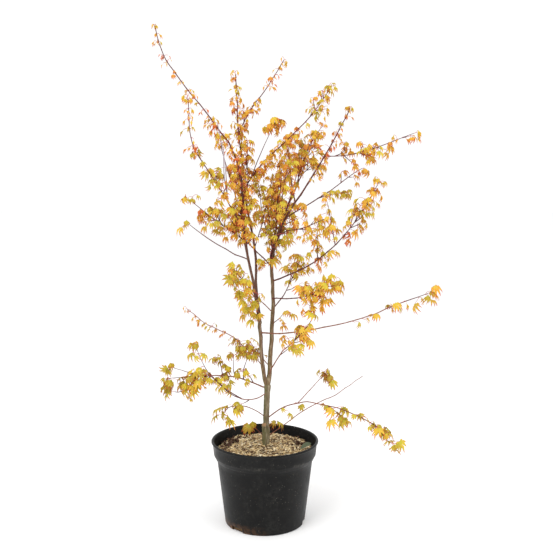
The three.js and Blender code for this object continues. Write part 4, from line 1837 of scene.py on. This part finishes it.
@dataclass
class Mulch:
    """Bark mulch: a crumbly bed that carries loose chips and shreds."""

    rings: int = 26
    segments: int = 72
    chip_forms: int = 6
    mound: float = 9 * MM
    collar: float = 5 * MM  # heaped against the trunk
    collar_reach: float = 42 * MM
    mound_reach: float = 85 * MM
    drop: float = 8 * MM  # how far the bed falls towards the wall
    bed_seed: int = 21
    chip_seed: int = 8
    strewn_seed: int = 9
    litter_seed: int = 77
    density: float = 52000.0  # chips strewn on a square metre
    sunk: float = 0.5 * MM
    heaped: float = 4.5 * MM
    smallest: float = 0.45  # share of its form's size that the smallest chip has
    largest: float = 1.25
    # bearing in degrees, distance and number of flakes of each drift of dead leaf
    drifts: tuple[tuple[float, float, int], ...] = ((148.0, 118 * MM, 60), (172.0, 124 * MM, 30), (18.0, 112 * MM, 34))
    tints: tuple[str, ...] = ("#a58a62", "#bfa67a", "#d0bb90", "#dfcda6", "#eadcbc", "#ccb283", "#7c6145", "#4a3728")

    def bed(self) -> bpy.types.Object:
        """Make the root ball with its uneven top.

        Returns:
            The bed.
        """
        low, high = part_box("mulch")
        reach = (high.x - low.x) / 2
        rng = random.Random(self.bed_seed)
        waves = [(rng.uniform(20, 60), rng.uniform(0, 6), rng.uniform(20, 60), rng.uniform(0, 6)) for _ in range(6)]
        built = bmesh.new()
        rows = [[built.verts.new((0, 0, high.z + 4 * MM))]]
        for r in range(1, self.rings + 1):
            away = reach * r / self.rings
            row = []
            for x, y, _ in ring(away, 0, self.segments):
                uneven = sum(math.sin(x * f + p) * math.sin(y * g + q) for f, p, g, q in waves)
                drop = self.drop * (away / reach) ** 2
                back = math.hypot(x - 10 * MM, y - 62 * MM) / self.mound_reach
                near = away / self.collar_reach
                heap = self.mound * math.exp(-(back**2)) + self.collar * math.exp(-(near**2))
                row.append(built.verts.new((x, y, high.z - 2 * MM - drop + heap + uneven * 0.8 * MM)))
            rows.append(row)
        rows.append([built.verts.new((v.co.x * 0.83, v.co.y * 0.83, low.z + 1 * MM)) for v in rows[-1]])
        rows.append([built.verts.new((0, 0, low.z + 1 * MM))])
        bridge(built, rows)
        return solid("mulch_bed", built, RootBall().material())

    def chip_collection(self) -> bpy.types.Collection:
        """Make a few splinters and chips of bark.

        Returns:
            Their collection, in order.
        """
        rng = random.Random(self.chip_seed)
        chips = bpy.data.collections.new("chip_forms")
        for number in range(self.chip_forms):
            long, wide, thick = rng.uniform(8, 24), rng.uniform(1.6, 4.6), rng.uniform(0.8, 2)
            built = bmesh.new()
            rows = []
            for k in range(4):
                t = k / 3
                w = wide * (0.35 + 0.65 * math.sin(math.pi * (0.15 + 0.7 * t))) / 2
                bow = 1.2 * math.sin(math.pi * t) * rng.uniform(0, 1)
                x = long * (t - 0.5)
                corners = ((-w, -thick / 2), (w, -thick / 2), (w, thick / 2), (-w, thick / 2))
                skew = rng.uniform(-0.6, 0.6)
                rows.append([built.verts.new((x * MM, (y + skew) * MM, (z + bow) * MM)) for y, z in corners])
            bridge(built, rows)
            built.faces.new(rows[0])
            built.faces.new(rows[-1])
            chips.objects.link(solid(f"chip_{number}", built, shown=False))
        return chips

    def scatter_tree(self) -> bpy.types.NodeTree:
        """Build the tree that strews the chips and deals out their tints.

        Returns:
            The tree.
        """
        sizes = {"Density": "Float", "Sunk": "Vector", "Heaped": "Vector", "Smallest": "Float", "Largest": "Float"}
        tree, given = geometry_tree("chip_scatter", {"Chips": "Collection", "Seed": "Int"} | sizes)
        up = add_node(tree, "GeometryNodeInputNormal")
        rise = add_node(tree, "ShaderNodeSeparateXYZ", inputs={0: up}).outputs["Z"]
        is_top = add_node(tree, "FunctionNodeCompare", {"operation": "GREATER_THAN"}, {0: rise, 1: 0.7})
        density, seed = given.outputs["Density"], given.outputs["Seed"]
        strewn_on = {"Mesh": given.outputs["Geometry"], "Selection": is_top, "Density": density, "Seed": seed}
        points = add_node(tree, "GeometryNodeDistributePointsOnFaces", inputs=strewn_on)
        # a Random Value's range is inputs 0 and 1 for a vector, 2 and 3 for a number, 4 and 5 for a whole number
        lift, turn, size, draw = (
            add_node(tree, "FunctionNodeRandomValue", {"data_type": kind}, {first: least, first + 1: most, "Seed": own})
            for kind, first, least, most, own in (
                ("FLOAT_VECTOR", 0, given.outputs["Sunk"], given.outputs["Heaped"], 3),
                ("FLOAT_VECTOR", 0, (-0.5, -0.35, 0.0), (0.5, 0.35, math.tau), 4),
                ("FLOAT", 2, given.outputs["Smallest"], given.outputs["Largest"], 5),
                ("INT", 4, 0, len(self.tints) - 1, 6),
            )
        )
        raised = add_node(tree, "GeometryNodeSetPosition", inputs={"Geometry": points, "Offset": lift})
        picked = {"Collection": given.outputs["Chips"], "Separate Children": True, "Reset Children": True}
        forms = add_node(tree, "GeometryNodeCollectionInfo", inputs=picked)
        rotation = add_node(tree, "FunctionNodeEulerToRotation", inputs={0: turn})
        laid = {"Points": raised, "Instance": forms, "Pick Instance": True, "Rotation": rotation, "Scale": size}
        strewn = add_node(tree, "GeometryNodeInstanceOnPoints", inputs=laid)
        on_each = {"data_type": "INT", "domain": "INSTANCE"}
        numbered = {"Geometry": strewn, "Name": "tint", "Value": draw}
        dealt = add_node(tree, "GeometryNodeStoreNamedAttribute", on_each, numbered)
        whole = add_node(tree, "GeometryNodeRealizeInstances", inputs={"Geometry": dealt})
        tint = add_node(tree, "GeometryNodeInputNamedAttribute", {"data_type": "INT"}, {"Name": "tint"})
        # weathered bark chips: dry and matt, from cream through tan to a few dark brown ones
        finishes = [PlainFinish(f"bark_chip_{n}", colour, 0.9).material() for n, colour in enumerate(self.tints)]
        add_node(tree, "NodeGroupOutput", inputs={0: deal_out(tree, whole, tint, finishes)})
        return tree

    def build(self) -> None:
        """Make the bed, then strew the chips on a copy of it."""
        bed = self.bed()
        chips = plain_object("mulch_chips", bed.data.copy())
        values = {"Chips": self.chip_collection(), "Density": self.density, "Seed": self.strewn_seed}
        heights = {"Sunk": (0.0, 0.0, -self.sunk), "Heaped": (0.0, 0.0, self.heaped)}
        settle(chips, self.scatter_tree(), values | heights | {"Smallest": self.smallest, "Largest": self.largest})
        declare(bed, "bark_mulch", "mulch")
        declare(chips, "bark_mulch")
        self.litter()

    def litter(self) -> None:
        """Lay dead leaf flakes in two drifts against the wall, and a fallen strap-shaped leaf on the right."""
        rng = random.Random(self.litter_seed)
        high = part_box("mulch")[1].z
        built = bmesh.new()
        for bearing, reach, count in self.drifts:
            for _ in range(count):
                turn = math.radians(bearing + rng.gauss(0, 9))
                away = min(reach + rng.gauss(0, 12 * MM), 142 * MM)
                level = high - 5 * MM + rng.uniform(0, 9) * MM
                centre = Vector((away * math.cos(turn), away * math.sin(turn), level))
                self.flake(built, centre, rng)
        # last year's leaves: dry, dark brown and matt
        self.finish_litter("dead_leaf_litter", built, PlainFinish("dead_leaf", "#4b3326", 0.85))
        built = bmesh.new()
        start = Vector((112 * MM, -32 * MM, high + 2 * MM))
        end = Vector((147 * MM, -14 * MM, high + 13 * MM))
        rows = []
        for k in range(9):
            t = k / 8
            middle = start.lerp(end, t) + UP * 5 * MM * math.sin(math.pi * t)
            wide = 7 * MM * math.sin(math.pi * (0.04 + 0.92 * t)) ** 0.7
            across = ((end - start).cross(UP).normalized() * 0.6 - UP * 0.8) * wide
            crease = UP * 1.6 * MM
            rows.append([built.verts.new(middle + o) for o in (across + crease, Vector(), crease - across)])
        bridge(built, rows, closed=False)
        # a fallen strap-shaped leaf: dull grey green with a low sheen
        self.finish_litter("strap_leaf", built, PlainFinish("strap_leaf_green", "#566048", 0.55))

    @staticmethod
    def flake(built: bmesh.types.BMesh, centre: Vector, rng: random.Random) -> None:
        """Add one curled flake of dead leaf.

        Args:
            built: The mesh that it joins.
            centre: Where it lies.
            rng: The chance that shapes it.
        """
        turn = Matrix.Rotation(rng.uniform(0, math.tau), 3, "Z") @ Matrix.Rotation(rng.gauss(0, 0.6), 3, "X")
        long, wide, curl = rng.uniform(5, 13) * MM, rng.uniform(2, 5) * MM, rng.uniform(1, 4) * MM
        rows = []
        for k in range(5):
            t = k / 4
            half = wide * math.sin(math.pi * (0.08 + 0.84 * t))
            x, z = long * (t - 0.5), curl * math.sin(math.pi * t)
            rows.append([built.verts.new(centre + turn @ Vector((x, y, z + abs(y) * 0.4))) for y in (-half, 0, half)])
        bridge(built, rows, closed=False)

    @staticmethod
    def finish_litter(name: str, built: bmesh.types.BMesh, finish: PlainFinish) -> None:
        """Thicken flat leaves a little, and dress them.

        Args:
            name: The piece's name.
            built: Its open faces, which this frees.
            finish: Its finish.
        """
        piece = solid(name, built, finish.material(), closed=False)
        wall = piece.modifiers.new("thickness", "SOLIDIFY")
        wall.thickness = 0.4 * MM
        graph = bpy.context.evaluated_depsgraph_get()
        piece.data = bpy.data.meshes.new_from_object(piece.evaluated_get(graph))
        piece.modifiers.clear()
        declare(piece, "bark_mulch")


# ---- studio ----


@dataclass
class Studio:
    """A pale floor, soft light all round and the camera."""

    distance: float = 2.487
    height: float = 1.072
    across: float = 0.037
    pitch: float = 6.53
    lens: float = 52.4
    reach: float = 30.0

    def build(self) -> None:
        """Make the floor, the lights and the camera."""
        mesh = bpy.data.meshes.new("floor")
        corners = [(x * self.reach, y * self.reach, 0) for x, y in ((-1, -1), (1, -1), (1, 1), (-1, 1))]
        mesh.from_pydata(corners, [], [(0, 1, 2, 3)])
        floor = plain_object("studio_floor", mesh)
        # painted board: near white and matt
        material, _ = principled("pale_floor", Base_Color=linear("#fbfbfb"), Roughness=0.9)
        mesh.materials.append(material)
        world = bpy.data.worlds.new("soft_white")
        bpy.context.scene.world = world
        world.use_nodes = True
        background = world.node_tree.nodes["Background"]
        background.inputs["Color"].default_value = (1.0, 1.0, 1.0, 1.0)
        background.inputs["Strength"].default_value = 1.05
        self.panel("key_light", Vector((-1.8, -2.4, 3.0)), 66.0, 2.2)
        self.panel("fill_light", Vector((2.4, -1.6, 2.0)), 28.0, 2.2)
        camera_data = bpy.data.cameras.new("camera")
        camera_data.lens, camera_data.sensor_width = self.lens, 36.0
        camera = bpy.data.objects.new("camera", camera_data)
        camera.location = (self.across, -self.distance, self.height)
        camera.rotation_euler = (math.radians(90 - self.pitch), 0, 0)
        bpy.context.scene.collection.objects.link(camera)
        bpy.context.scene.camera = camera
        bpy.context.scene.view_settings.view_transform = "Standard"

    def panel(self, name: str, place: Vector, power: float, size: float) -> None:
        """Hang one soft light panel that faces the tree.

        Args:
            name: Its name.
            place: Where it hangs.
            power: Its power in watts.
            size: Its side.
        """
        data = bpy.data.lights.new(name, "AREA")
        data.energy, data.size = power, size
        light = bpy.data.objects.new(name, data)
        light.location = place
        aim = Vector((0, 0, 0.8)) - place
        light.rotation_euler = aim.to_track_quat("-Z", "Y").to_euler()
        bpy.context.scene.collection.objects.link(light)


def main() -> None:
    """Build the studio, pot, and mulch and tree."""
    logging.basicConfig(level=logging.INFO, format="%(name)s %(message)s")
    Studio().build()
    NurseryPot().build()
    Mulch().build()
    maple = Maple()
    maple.build_wood()
    maple.build_crown()
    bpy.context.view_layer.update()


if __name__ == "__main__":
    main()
